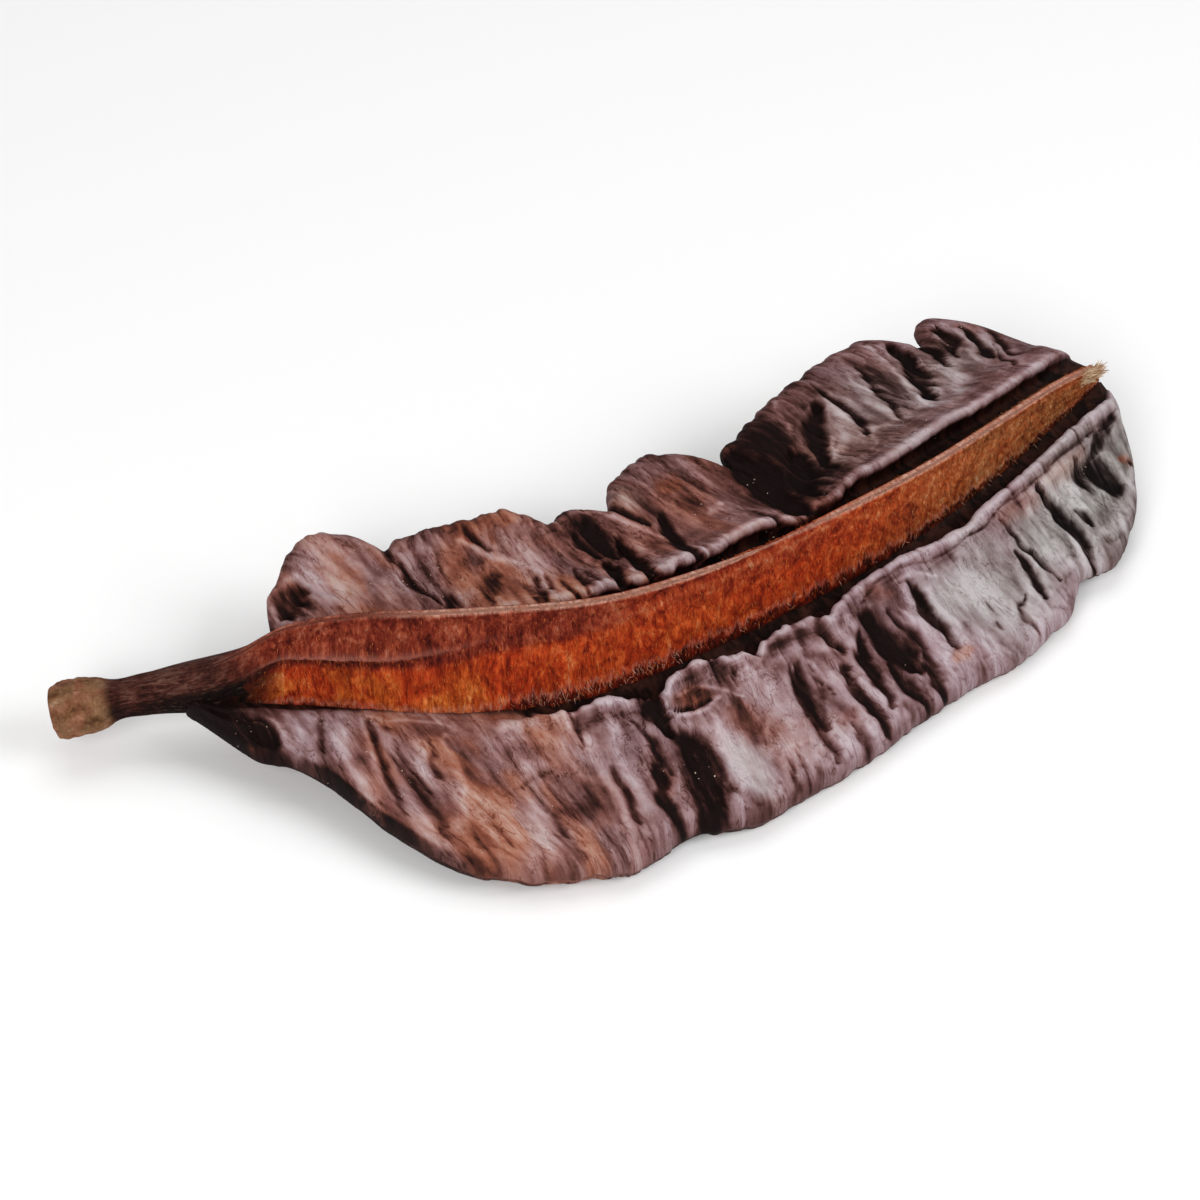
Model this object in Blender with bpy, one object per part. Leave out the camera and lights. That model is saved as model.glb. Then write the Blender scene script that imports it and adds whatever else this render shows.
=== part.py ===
# A dried prekese pod, the four-winged fruit of Tetrapleura tetraptera, lying on a table.
# A woody spine carries a standing keel above and below, and a thick wrinkled pulp wing grows from
# each side of it. The stalk runs on from the spine and ends in a knob where it broke off.
# All of it grew as one piece, so the three lofted bodies are joined into one solid.
#
# Frame: +X runs from the stalk to the tip, -Y is the near wing, which touches the table, and +Z is up.
# Dimensions are in millimetres and MM turns them into metres. A station is a distance along the
# pod's curved centre line: 0 at the neck, negative down the stalk. In a table, each row is
# (station, value), and a smooth curve runs through the rows.

import math
import random

import bmesh
import bpy
import numpy as np
from mathutils import Matrix, Vector

MM = 0.001

# The centre line, and how far the pod leans over towards its near wing, in degrees
LINE_X = ((-22, -86.5), (0, -64.5), (40, -27.5), (80, 11.5), (120, 51), (168, 98.5))
LINE_Y = (
    (-22, 7.2), (0, 0.9), (20, -6.0), (40, -13.2), (60, -16.9), (80, -15.8), (120, -7.6), (168, 10.5),
)
LINE_Z = ((-22, 10.8), (-10, 12.8), (0, 14.2), (20, 14.9), (60, 15.2), (120, 15.2), (168, 17.5))
LEAN = ((-22, 8), (0, 10), (60, 11.5), (110, 15), (168, 17))

# The spine: keel heights above and below the centre line, and half its width at the keels' feet
TOP_KEEL = (
    (-22, 4.0), (-2, 4.8), (6, 9.6), (14, 14.6), (25, 18), (45, 18.6),
    (70, 15), (120, 14.4), (145, 11.5), (160, 7.5), (168, 3.4),
)
LOW_KEEL = (
    (-22, 4.0), (-2, 4.2), (12, 8.6), (25, 12.6), (36, 13.8), (50, 13.0), (75, 12.2),
    (100, 12.8), (118, 13.9), (130, 13.2), (145, 10.5), (158, 7), (168, 2.6),
)
FOOT = ((-22, 4.0), (0, 4.6), (20, 5.3), (60, 5.0), (100, 4.7), (150, 3.8), (168, 2.2))
FOOT_HEIGHT = 1.2
CREST_HALF = 0.8
KEEL_LEDGE = ((10, 0.0), (18, 0.9), (45, 0.8), (70, 0.0), (168, 0.0))
LEDGE_AT = 0.55
LEDGE_WIDTH = 0.10
FLANK_POWER = 1.25
TOP_SHARES = (1.0, 0.97, 0.80, 0.62, 0.45, 0.28, 0.12, 0.0)
LOW_SHARES = (0.0, 0.2, 0.42, 0.65, 0.86, 0.97, 1.0)

# The stalk is a round stem with a knob, and it opens into the keels between the two neck stations
STEM_RADIUS = ((-22, 3.6), (-21, 4.1), (-14.5, 4.1), (-12.8, 3.1), (-8, 3.0), (-2, 3.8), (12, 5.8))
NECK = (-4.0, 16.0)

# The pulp wings. Width is from the centre line to the outer edge, and droop is how far that edge
# hangs below the root. Slant is how far a fold moves towards the tip for each millimetre that it
# runs outwards. Lip is the height of the skin's rolled edge beside the keel, from 0 to 1.
# A fold is (station at the root, extra slant, where it begins and ends across the wing,
# its reach to either side, its depth in the upper skin).
NEAR = {
    "side": -1,
    "ends": (0.5, 168.5),
    "width": (
        (0.5, 8), (4, 12.6), (11, 15.2), (15, 19.2), (20, 27), (23, 32.6), (28, 35.2),
        (42, 37), (52, 37.2), (59, 36.2), (64, 34.2), (71, 35.6), (87, 34.4), (103, 31.4), (127, 31),
        (135, 29.6), (141.5, 26.4), (145.5, 27.8), (152, 27.2), (158, 24), (163, 19), (166, 14.5),
        (168.5, 9),
    ),
    "slant": (
        (0, 0.6), (20, 0.6), (40, 0.45), (55, 0.15), (70, 0.0), (100, 0.1), (130, 0.0), (167, -0.2),
    ),
    "lip": ((0, 0.0), (40, 0.0), (52, 0.4), (64, 1.0), (140, 1.0), (166, 0.6)),
    "droop": 2.8,
    "half": ((0, 2.6), (10, 3.6), (30, 4.2), (110, 4.0), (167, 2.8)),
    "folds": (
        (8, 0.0, 7, 18, 3.4, 2.2),
        (16.5, 0.0, 8, 17, 2.4, 1.2),
        (25, 0.0, 10, 33, 2.8, 1.5),
        (32.5, 0.0, 12, 25, 2.4, 1.1),
        (40.5, -0.12, 16, 36, 2.6, 0.9),
        (45, 0.0, 9, 20, 2.8, 1.4),
        (52, 0.0, 8, 17, 2.4, 1.1),
        (57.5, 0.0, 18, 34, 2.6, 1.4),
        (63, 0.0, 8, 20, 2.6, 1.4),
        (70.5, -0.15, 16, 40, 5.0, 3.4),
        (80.5, 0.0, 26, 40, 2.4, 1.1),
        (87.5, 0.0, 13, 32, 3.2, 2.5),
        (97.5, 0.0, 8, 31, 2.8, 1.7),
        (106, 0.05, 11, 28, 3.4, 2.6),
        (113.5, 0.0, 10, 25, 2.4, 2.0),
        (126.5, 0.0, 20, 34, 2.4, 1.0),
        (133.5, -0.05, 11, 27, 2.6, 1.6),
        (143.5, -0.1, 11, 32, 3.0, 2.4),
        (152.5, 0.0, 10, 25, 3.2, 2.4),
        (160.5, 0.0, 7, 18, 2.6, 1.8),
    ),
}
FAR = {
    "side": 1,
    "ends": (13.5, 167.8),
    "width": (
        (13.5, 8), (18, 14.8), (23, 19), (28, 23.8), (34, 27.2), (38, 27), (41, 24), (44, 26),
        (50, 27.8), (58, 29.4), (64, 30), (69, 28.4), (73.5, 25.4), (80, 26.8), (86, 23.8),
        (90, 27.6), (96, 30), (103, 30.4), (107.5, 28), (111, 21.4), (113, 25), (118, 26.6),
        (128, 29.4), (139, 30.6), (150, 30.4), (155, 29), (158, 22.4), (160.5, 25), (165, 25.4),
        (167.8, 20),
    ),
    "slant": ((13, -0.8), (30, -0.8), (60, -0.45), (100, -0.45), (168, -0.5)),
    "lip": ((13, 0.0), (45, 0.1), (60, 0.6), (75, 1.0), (150, 1.0), (168, 0.5)),
    "droop": 0.0,
    "half": ((13, 2.4), (30, 3.7), (110, 3.7), (168, 2.8)),
    "folds": (
        (21.5, 0.0, 7, 17, 3.4, 2.6),
        (33, 0.0, 12, 23, 3.0, 0.7),
        (41.5, -0.08, 9, 40, 2.8, 2.0),
        (47, 0.1, 9, 40, 2.4, 1.4),
        (53.5, 0.0, 10, 22, 3.2, 2.4),
        (63.5, 0.0, 8, 17, 2.4, 1.4),
        (72, 0.0, 8, 40, 3.0, 2.2),
        (79.5, 0.0, 8, 24, 3.0, 2.6),
        (86.8, -0.08, 8, 40, 2.8, 2.4),
        (93.5, 0.0, 11, 23, 2.6, 1.0),
        (101, 0.0, 12, 25, 2.6, 1.0),
        (111.5, -0.05, 8, 40, 4.0, 3.4),
        (118, 0.0, 9, 28, 3.0, 3.0),
        (124, 0.1, 11, 27, 3.0, 2.8),
        (131, 0.5, 10, 30, 2.6, 2.2),
        (138, 0.6, 10, 29, 2.6, 1.6),
        (146.5, 0.45, 11, 28, 3.2, 2.8),
        (157, 0.05, 8, 40, 2.4, 2.4),
        (162, 0.4, 11, 27, 2.4, 1.8),
    ),
}

# Across a wing there are: its root inside the spine, four inner points measured from the keel's
# foot (two in the crevice, the lip's crest and the skin beyond it), and the outer points as shares
# of what is left. The inner points have one set of heights without a lip and one with it.
ROOT = 1.8
INNER_ACROSS = (1.0, 2.6, 4.6, 6.8)
FLUSH_HEIGHTS = (0.9, 1.9, 2.7, 3.6, 4.0)
LIP_HEIGHTS = (0.9, 1.4, 1.8, 5.5, 4.7)
OUTER_SHARES = (0.16, 0.34, 0.52, 0.70, 0.84, 0.94, 1.0)
NARROWEST = 14.0
EDGE_RADIUS = 4.0
END_ROUNDING = 5.0
THINNEST = 0.35

# The underside has the same folds a little shallower, and a lower lip
UNDER_FOLDS = 0.7
UNDER_LIP = 0.6

# A fold fades in and out over this distance. Small creases are drawn at random from the seed.
FOLD_BLUR = 1.5
FOLD_POWER = 1.6
SMALL_CREASES = 26
CREASE_FADE = 0.1
SEED = 7

# Spacing of the lofts' cross-sections, how much closer they stand at the ends, and how much of the
# lowest spots the table flattens
STATION_STEP = 2.35
CROWDING = 0.028
STALK_STATIONS = (-22, -21.4, -20.4, -17.5, -14.5, -13.5, -12.4, -10.5, -7.5, -4.5)
TABLE_DIP = 0.5
SLAB_SIZE = (0.4, 0.4, 0.1)

POD_COLOUR = (0.10, 0.055, 0.05, 1.0)
POD_ROUGHNESS = 0.45
SHARP_ANGLE = 55


def curve(table, at):
    # A smooth curve through the rows of a table, straight on beyond its ends
    rows = np.asarray(table, float)
    xs, ys = rows[:, 0], rows[:, 1]
    at = np.asarray(at, float)
    steps = np.diff(xs)
    slopes = np.diff(ys) / steps
    tangent = np.empty_like(ys)
    tangent[0] = slopes[0]
    tangent[-1] = slopes[-1]
    tangent[1:-1] = (slopes[:-1] * steps[1:] + slopes[1:] * steps[:-1]) / (steps[1:] + steps[:-1])
    i = np.clip(np.searchsorted(xs, at) - 1, 0, len(xs) - 2)
    u = np.clip((at - xs[i]) / steps[i], 0, 1)
    beyond = tangent[0] * np.minimum(at - xs[0], 0) + tangent[-1] * np.maximum(at - xs[-1], 0)
    start = (2 * u**3 - 3 * u**2 + 1) * ys[i] + (u**3 - 2 * u**2 + u) * steps[i] * tangent[i]
    end = (3 * u**2 - 2 * u**3) * ys[i + 1] + (u**3 - u**2) * steps[i] * tangent[i + 1]
    return start + end + beyond


def smooth(value, low, high):
    t = np.clip((value - low) / (high - low), 0, 1)
    return t * t * (3 - 2 * t)


def band(value, low, high, blur):
    # 1 between low and high, fading to 0 within the blur on either side
    return smooth(value, low - blur, low + blur) * (1 - smooth(value, high - blur, high + blur))


def centre_line(station):
    return np.stack([curve(LINE_X, station), curve(LINE_Y, station), curve(LINE_Z, station)], -1)


def unit(vectors):
    return vectors / np.linalg.norm(vectors, axis=-1, keepdims=True)


def place(station, across, height):
    # The point at this station, so far across towards +Y and so high, in the leaning cross-section
    station, across, height = np.broadcast_arrays(np.asarray(station, float), across, height)
    along = unit(centre_line(station + 0.5) - centre_line(station - 0.5))
    level = unit(np.cross(np.array([0.0, 0.0, 1.0]), along))
    upright = np.cross(along, level)
    lean = np.radians(curve(LEAN, station))[..., None]
    sideways = np.cos(lean) * level + np.sin(lean) * upright
    upwards = np.cos(lean) * upright - np.sin(lean) * level
    return centre_line(station) + sideways * across[..., None] + upwards * height[..., None]


def stations_between(start, end, snaps):
    # Even stations, closer together at both ends, with the nearest one moved onto each fold
    count = int((end - start) / STATION_STEP)
    even = np.linspace(0, 1, count)
    stations = start + (end - start) * (even - CROWDING * np.sin(2 * math.pi * even))
    for snap in snaps:
        nearest = int(np.argmin(np.abs(stations - snap)))
        if 0 < nearest < count - 1:
            stations[nearest] = snap
    return np.sort(stations)


def spine_rings():
    # Each ring runs from the top crest down one side to the low crest and back up the other side
    stations = np.concatenate([STALK_STATIONS, stations_between(-2.5, 168.0, ())])
    s = stations[:, None]
    foot = curve(FOOT, s)
    rise = np.array(TOP_SHARES)
    flank = CREST_HALF + (foot - CREST_HALF) * (1 - rise) ** FLANK_POWER
    flank = flank + curve(KEEL_LEDGE, s) * np.exp(-(((rise - LEDGE_AT) / LEDGE_WIDTH) ** 2))
    flank_height = FOOT_HEIGHT + (curve(TOP_KEEL, s) - FOOT_HEIGHT) * rise
    fall = np.array(LOW_SHARES)
    low_flank = CREST_HALF + (foot - CREST_HALF) * (1 - fall) ** FLANK_POWER
    low_height = -FOOT_HEIGHT - (curve(LOW_KEEL, s) - FOOT_HEIGHT) * fall
    across = np.concatenate([flank, low_flank], 1)
    across[:, 0] = 0.0
    across[:, -1] = 0.0
    height = np.concatenate([flank_height, low_height], 1)
    # The stalk is round, point for point, and the neck opens it into the keels
    angle = np.linspace(math.pi / 2, -math.pi / 2, across.shape[1])
    radius = curve(STEM_RADIUS, s)
    opened = smooth(s, *NECK)
    across = across * opened + radius * np.cos(angle) * (1 - opened)
    height = height * opened + radius * np.sin(angle) * (1 - opened)
    across = np.concatenate([across, -across[:, -2:0:-1]], 1)
    height = np.concatenate([height, height[:, -2:0:-1]], 1)
    return place(s, across, height)


def fold_dips(wing, q, across):
    # The depth of the wing's folds: each is a V with rounded shoulders that fades out at its ends
    dip = np.zeros(np.broadcast(q, across).shape)
    for station, slant, begin, end, reach, depth in wing["folds"]:
        offset = np.abs(q - station - slant * (across - INNER_ACROSS[-1]))
        line = np.clip(1 - offset / reach, 0, 1) ** FOLD_POWER
        dip = np.maximum(dip, depth * line * band(across, begin, end, FOLD_BLUR))
    return dip


def small_creases(q, out, seed):
    # Lesser wrinkles at random stations, each on its own stretch of the wing
    draw = random.Random(seed)
    dip = np.zeros(np.broadcast(q, out).shape)
    for number in range(SMALL_CREASES):
        station = 168 * (number + draw.random()) / SMALL_CREASES
        begin = draw.uniform(0.0, 0.6)
        end = begin + draw.uniform(0.3, 0.7)
        depth = draw.uniform(0.5, 1.1)
        reach = draw.uniform(2.4, 3.6)
        bend = draw.uniform(-3, 3)
        line = np.clip(1 - np.abs(q - station - bend * out**2) / reach, 0, 1) ** 2
        dip += depth * line * band(out, begin, end, CREASE_FADE)
    return dip


def wing_rings(wing, seed):
    # Each ring runs over the upper skin from the root to the edge and back along the underside
    start, end = wing["ends"]
    q = stations_between(start, end, [fold[0] for fold in wing["folds"]])[:, None]
    width = curve(wing["width"], q)
    foot = np.minimum(curve(FOOT, q), width * 0.4)
    room = np.clip((width - foot) / NARROWEST, 0.3, 1.0)
    inner = foot + np.array(INNER_ACROSS) * room
    outer = inner[:, -1:] + (width - inner[:, -1:]) * np.array(OUTER_SHARES)
    across = np.concatenate([np.full_like(q, ROOT), inner, outer], 1)
    out = np.clip((across - inner[:, -1:]) / (width - inner[:, -1:]), 0, 1)
    rim = EDGE_RADIUS * room
    rounding = np.sqrt(1 - np.clip((across - width + rim) / rim, 0, 0.9995) ** 2)
    fullness = np.clip(np.minimum(q - start, end - q) / END_ROUNDING, 0.01, 1)
    swell = np.sqrt(1 - (1 - fullness) ** 2) * room**0.5

    half = curve(wing["half"], q) * (1.05 - 0.28 * np.sin(math.pi * out**0.8))
    folds = fold_dips(wing, q, across)
    lip = curve(wing["lip"], q)
    skins = []
    for fold_share, lip_share, skin_seed in ((1, 1, seed), (UNDER_FOLDS, UNDER_LIP, seed + 1)):
        skin = (half - fold_share * folds - small_creases(q, out, skin_seed)) * rounding
        flush = np.array(FLUSH_HEIGHTS)
        inner_skin = flush + (np.array(LIP_HEIGHTS) - flush) * lip * lip_share
        skin[:, :5] = inner_skin - folds[:, :5] * np.array([0, 0, 0, 0.4, 0.7])
        skin = np.maximum(skin, THINNEST) * swell
        skin[:, -1] = 0.0
        skins.append(skin)
    middle = -wing["droop"] * out**2
    station = q + curve(wing["slant"], q) * (across - 5)
    top = place(station, wing["side"] * across, middle + skins[0])
    under = place(station, wing["side"] * across, middle - skins[1])
    return np.concatenate([top, under[:, -2::-1]], 1)


def loft(name, rings):
    # A closed body through the rings, with a point at the middle of each end
    mesh = bpy.data.meshes.new(name)
    body = bpy.data.objects.new(name, mesh)
    bpy.context.scene.collection.objects.link(body)
    bm = bmesh.new()
    rows = [[bm.verts.new(point * MM) for point in ring] for ring in rings]
    count = len(rows[0])
    for one, two in zip(rows, rows[1:]):
        for i in range(count):
            j = (i + 1) % count
            bm.faces.new((one[i], one[j], two[j], two[i]))
    for row in (rows[0], rows[-1]):
        middle = bm.verts.new(sum((vert.co for vert in row[1:]), row[0].co.copy()) / count)
        for i in range(count):
            bm.faces.new((row[i], row[(i + 1) % count], middle))
    bmesh.ops.recalc_face_normals(bm, faces=bm.faces)
    bm.to_mesh(mesh)
    bm.free()
    return body


def table_slab(pod):
    # A helper block whose top trims the pod's lowest spots flat
    lowest = min(vertex.co.z for vertex in pod.data.vertices)
    top = lowest + TABLE_DIP * MM
    bpy.ops.mesh.primitive_cube_add(size=1.0, location=(0, 0, top - SLAB_SIZE[2] / 2), scale=SLAB_SIZE)
    slab = bpy.context.object
    slab.name = "table_slab"
    return slab


def join_bodies(pod, bodies, operation):
    # Applies a Boolean with each of the bodies, which are then removed
    for body in bodies:
        modifier = pod.modifiers.new(body.name, "BOOLEAN")
        modifier.operation = operation
        modifier.solver = "EXACT"
        modifier.object = body
    graph = bpy.context.evaluated_depsgraph_get()
    joined = bpy.data.meshes.new_from_object(pod.evaluated_get(graph))
    pod.modifiers.clear()
    pod.data = joined
    for body in bodies:
        bpy.data.objects.remove(body)


def settle(pod):
    # Puts the origin at the middle of the pod's base
    points = np.array([vertex.co for vertex in pod.data.vertices])
    low = points.min(0)
    high = points.max(0)
    shift = Vector((-(low[0] + high[0]) / 2, -(low[1] + high[1]) / 2, -low[2]))
    pod.data.transform(Matrix.Translation(shift))


def finish(pod):
    material = bpy.data.materials.new("dried_pod_skin")
    material.use_nodes = True
    shader = material.node_tree.nodes["Principled BSDF"]
    shader.inputs["Base Color"].default_value = POD_COLOUR
    shader.inputs["Roughness"].default_value = POD_ROUGHNESS
    shader.inputs["Metallic"].default_value = 0.0
    pod.data.materials.clear()
    pod.data.materials.append(material)
    pod.data.shade_smooth()
    pod.data.set_sharp_from_angle(angle=math.radians(SHARP_ANGLE))


def main():
    for old in list(bpy.data.objects):
        bpy.data.objects.remove(old)
    pod = loft("prekese_pod", spine_rings())
    near = loft("near_wing", wing_rings(NEAR, SEED))
    far = loft("far_wing", wing_rings(FAR, SEED + 10))
    join_bodies(pod, [near, far], "UNION")
    join_bodies(pod, [table_slab(pod)], "DIFFERENCE")
    settle(pod)
    finish(pod)


main()
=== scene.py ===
import math

import bpy
import numpy as np
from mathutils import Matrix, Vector


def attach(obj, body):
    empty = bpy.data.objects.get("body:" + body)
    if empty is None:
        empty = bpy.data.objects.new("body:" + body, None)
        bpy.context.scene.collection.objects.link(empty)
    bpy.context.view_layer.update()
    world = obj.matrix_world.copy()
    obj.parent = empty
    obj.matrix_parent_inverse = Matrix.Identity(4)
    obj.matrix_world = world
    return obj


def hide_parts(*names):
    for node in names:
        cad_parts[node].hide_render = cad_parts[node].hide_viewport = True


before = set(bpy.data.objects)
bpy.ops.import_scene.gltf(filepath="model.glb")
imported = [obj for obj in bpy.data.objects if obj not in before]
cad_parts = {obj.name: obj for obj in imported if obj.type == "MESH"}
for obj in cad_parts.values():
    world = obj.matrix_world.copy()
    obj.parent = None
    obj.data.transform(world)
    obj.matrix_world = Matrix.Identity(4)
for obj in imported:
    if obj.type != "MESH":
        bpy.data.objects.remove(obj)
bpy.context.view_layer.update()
mm = 0.001

# The pod's own shape: a curved centre line that leans over towards the near wing. Lengths are in mm,
# and a station is a distance along the line: 0 at the neck, 168 at the tip, negative down the stalk.
podLine = {
    "x": ((-22, -86.5), (0, -64.5), (40, -27.5), (80, 11.5), (120, 51), (168, 98.5)),
    "y": (
        (-22, 7.2), (0, 0.9), (20, -6.0), (40, -13.2), (60, -16.9), (80, -15.8), (120, -7.6), (168, 10.5),
    ),
    "z": ((-22, 10.8), (-10, 12.8), (0, 14.2), (20, 14.9), (60, 15.2), (120, 15.2), (168, 17.5)),
    "lean": ((-22, 8), (0, 10), (60, 11.5), (110, 15), (168, 17)),
    "origin": (6.7737, -12.4020, 2.0896),  # the library's origin, under the middle of the pod
}


def curveThrough(table, at):
    rows = np.asarray(table, float)
    xs, ys = rows[:, 0], rows[:, 1]
    at = np.asarray(at, float)
    steps = np.diff(xs)
    slopes = np.diff(ys) / steps
    tangent = np.empty_like(ys)
    tangent[0] = slopes[0]
    tangent[-1] = slopes[-1]
    tangent[1:-1] = (slopes[:-1] * steps[1:] + slopes[1:] * steps[:-1]) / (steps[1:] + steps[:-1])
    i = np.clip(np.searchsorted(xs, at) - 1, 0, len(xs) - 2)
    u = np.clip((at - xs[i]) / steps[i], 0, 1)
    beyond = tangent[0] * np.minimum(at - xs[0], 0) + tangent[-1] * np.maximum(at - xs[-1], 0)
    start = (2 * u**3 - 3 * u**2 + 1) * ys[i] + (u**3 - 2 * u**2 + u) * steps[i] * tangent[i]
    end = (3 * u**2 - 2 * u**3) * ys[i + 1] + (u**3 - u**2) * steps[i] * tangent[i + 1]
    return start + end + beyond


def ease(value, low, high):
    t = np.clip((value - low) / (high - low), 0, 1)
    return t * t * (3 - 2 * t)


def between(value, low, high, blur):
    return ease(value, low - blur, low + blur) * (1 - ease(value, high - blur, high + blur))


def unitOf(vectors):
    return vectors / np.linalg.norm(vectors, axis=-1, keepdims=True)


def centreLine(station):
    return np.stack([curveThrough(podLine[axis], station) for axis in "xyz"], -1) - podLine["origin"]


def place(station, across, height):
    # across is + towards the far wing, and height is measured up the leaning cross-section
    station, across, height = np.broadcast_arrays(np.asarray(station, float), across, height)
    along = unitOf(centreLine(station + 0.5) - centreLine(station - 0.5))
    level = unitOf(np.cross(np.array([0.0, 0.0, 1.0]), along))
    upright = np.cross(along, level)
    lean = np.radians(curveThrough(podLine["lean"], station))[..., None]
    sideways = np.cos(lean) * level + np.sin(lean) * upright
    upwards = np.cos(lean) * upright - np.sin(lean) * level
    return centreLine(station) + sideways * across[..., None] + upwards * height[..., None]


def softNoise(x, y, seed):
    # smooth value noise from -1 to 1 on a unit lattice
    draw = np.random.default_rng(seed)
    order = draw.permutation(256)
    levels = draw.uniform(-1, 1, 256)
    x, y = np.broadcast_arrays(x, y)
    xi, yi = np.floor(x).astype(int), np.floor(y).astype(int)
    u, v = (t**3 * (t * (t * 6 - 15) + 10) for t in (x - xi, y - yi))
    pick = lambda a, b: levels[order[(order[(xi + a) & 255] + yi + b) & 255]]
    low = pick(0, 0) * (1 - u) + pick(1, 0) * u
    high = pick(0, 1) * (1 - u) + pick(1, 1) * u
    return low * (1 - v) + high * v


def layeredNoise(x, y, seed, layers):
    return sum(softNoise(x * 2**n, y * 2**n, seed + n) / 2**n for n in range(layers))


def creases(noise, sharpness):
    # thin lines where the noise crosses 0
    return (1 - np.abs(noise)) ** sharpness


def rounded(level, start):
    # 1 up to the start, then a quarter circle down to 0 at level 1
    return np.sqrt(1 - np.clip((level - start) / (1 - start), 0, 1) ** 2)


def quadsOf(rows, columns):
    i, j = np.meshgrid(np.arange(rows - 1), np.arange(columns - 1), indexing="ij")
    corner = i * columns + j
    return np.stack([corner, corner + 1, corner + columns + 1, corner + columns], -1).reshape(-1, 4)


def skinPiece(name, rings, attributes, grain):
    # a closed skin through rings of points in mm, with a point at the middle of each end
    count, around = rings.shape[:2]
    points = np.concatenate([rings.reshape(-1, 3), [rings[0].mean(0), rings[-1].mean(0)]]) * mm
    points[:, 2] = np.maximum(points[:, 2], 0.0)
    i, j = np.meshgrid(np.arange(count - 1), np.arange(around), indexing="ij")
    k = (j + 1) % around
    quads = np.stack([i * around + j, i * around + k, (i + 1) * around + k, (i + 1) * around + j], -1)
    faces = [tuple(int(v) for v in quad) for quad in quads.reshape(-1, 4)]
    last, firstEnd = (count - 1) * around, count * around
    for j in range(around):
        k = (j + 1) % around
        faces.append((j, firstEnd, k))
        faces.append((last + j, last + k, firstEnd + 1))
    mesh = bpy.data.meshes.new(name)
    mesh.from_pydata([tuple(p) for p in points], [], faces)
    for key, values in attributes.items():
        layer = mesh.attributes.new(key, "FLOAT", "POINT")
        flat = np.concatenate([np.broadcast_to(values, (count, around)).reshape(-1), [values.flat[0]] * 2])
        layer.data.foreach_set("value", flat.astype(np.float32))
    corners = np.empty(len(mesh.loops), dtype=np.int64)
    mesh.loops.foreach_get("vertex_index", corners)
    flatGrain = np.concatenate([grain.reshape(-1, 2), [grain[0].mean(0), grain[-1].mean(0)]])
    uv = mesh.uv_layers.new(name="grain")
    uv.data.foreach_set("uv", flatGrain[corners].reshape(-1).astype(np.float32))
    turnOutwards(mesh, points)
    mesh.shade_smooth()
    mesh.update()
    return addPiece(name, mesh)


def turnOutwards(mesh, points):
    # a closed mesh whose faces point inwards has a negative volume
    a, b, c = (points[[face.vertices[k] for face in mesh.polygons]] for k in range(3))
    if np.einsum("ij,ij->i", a, np.cross(b, c)).sum() < 0:
        mesh.flip_normals()


def addPiece(name, mesh):
    piece = bpy.data.objects.new(name, mesh)
    bpy.context.scene.collection.objects.link(piece)
    print("stage:", name, len(mesh.polygons), "faces")
    return piece


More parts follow.
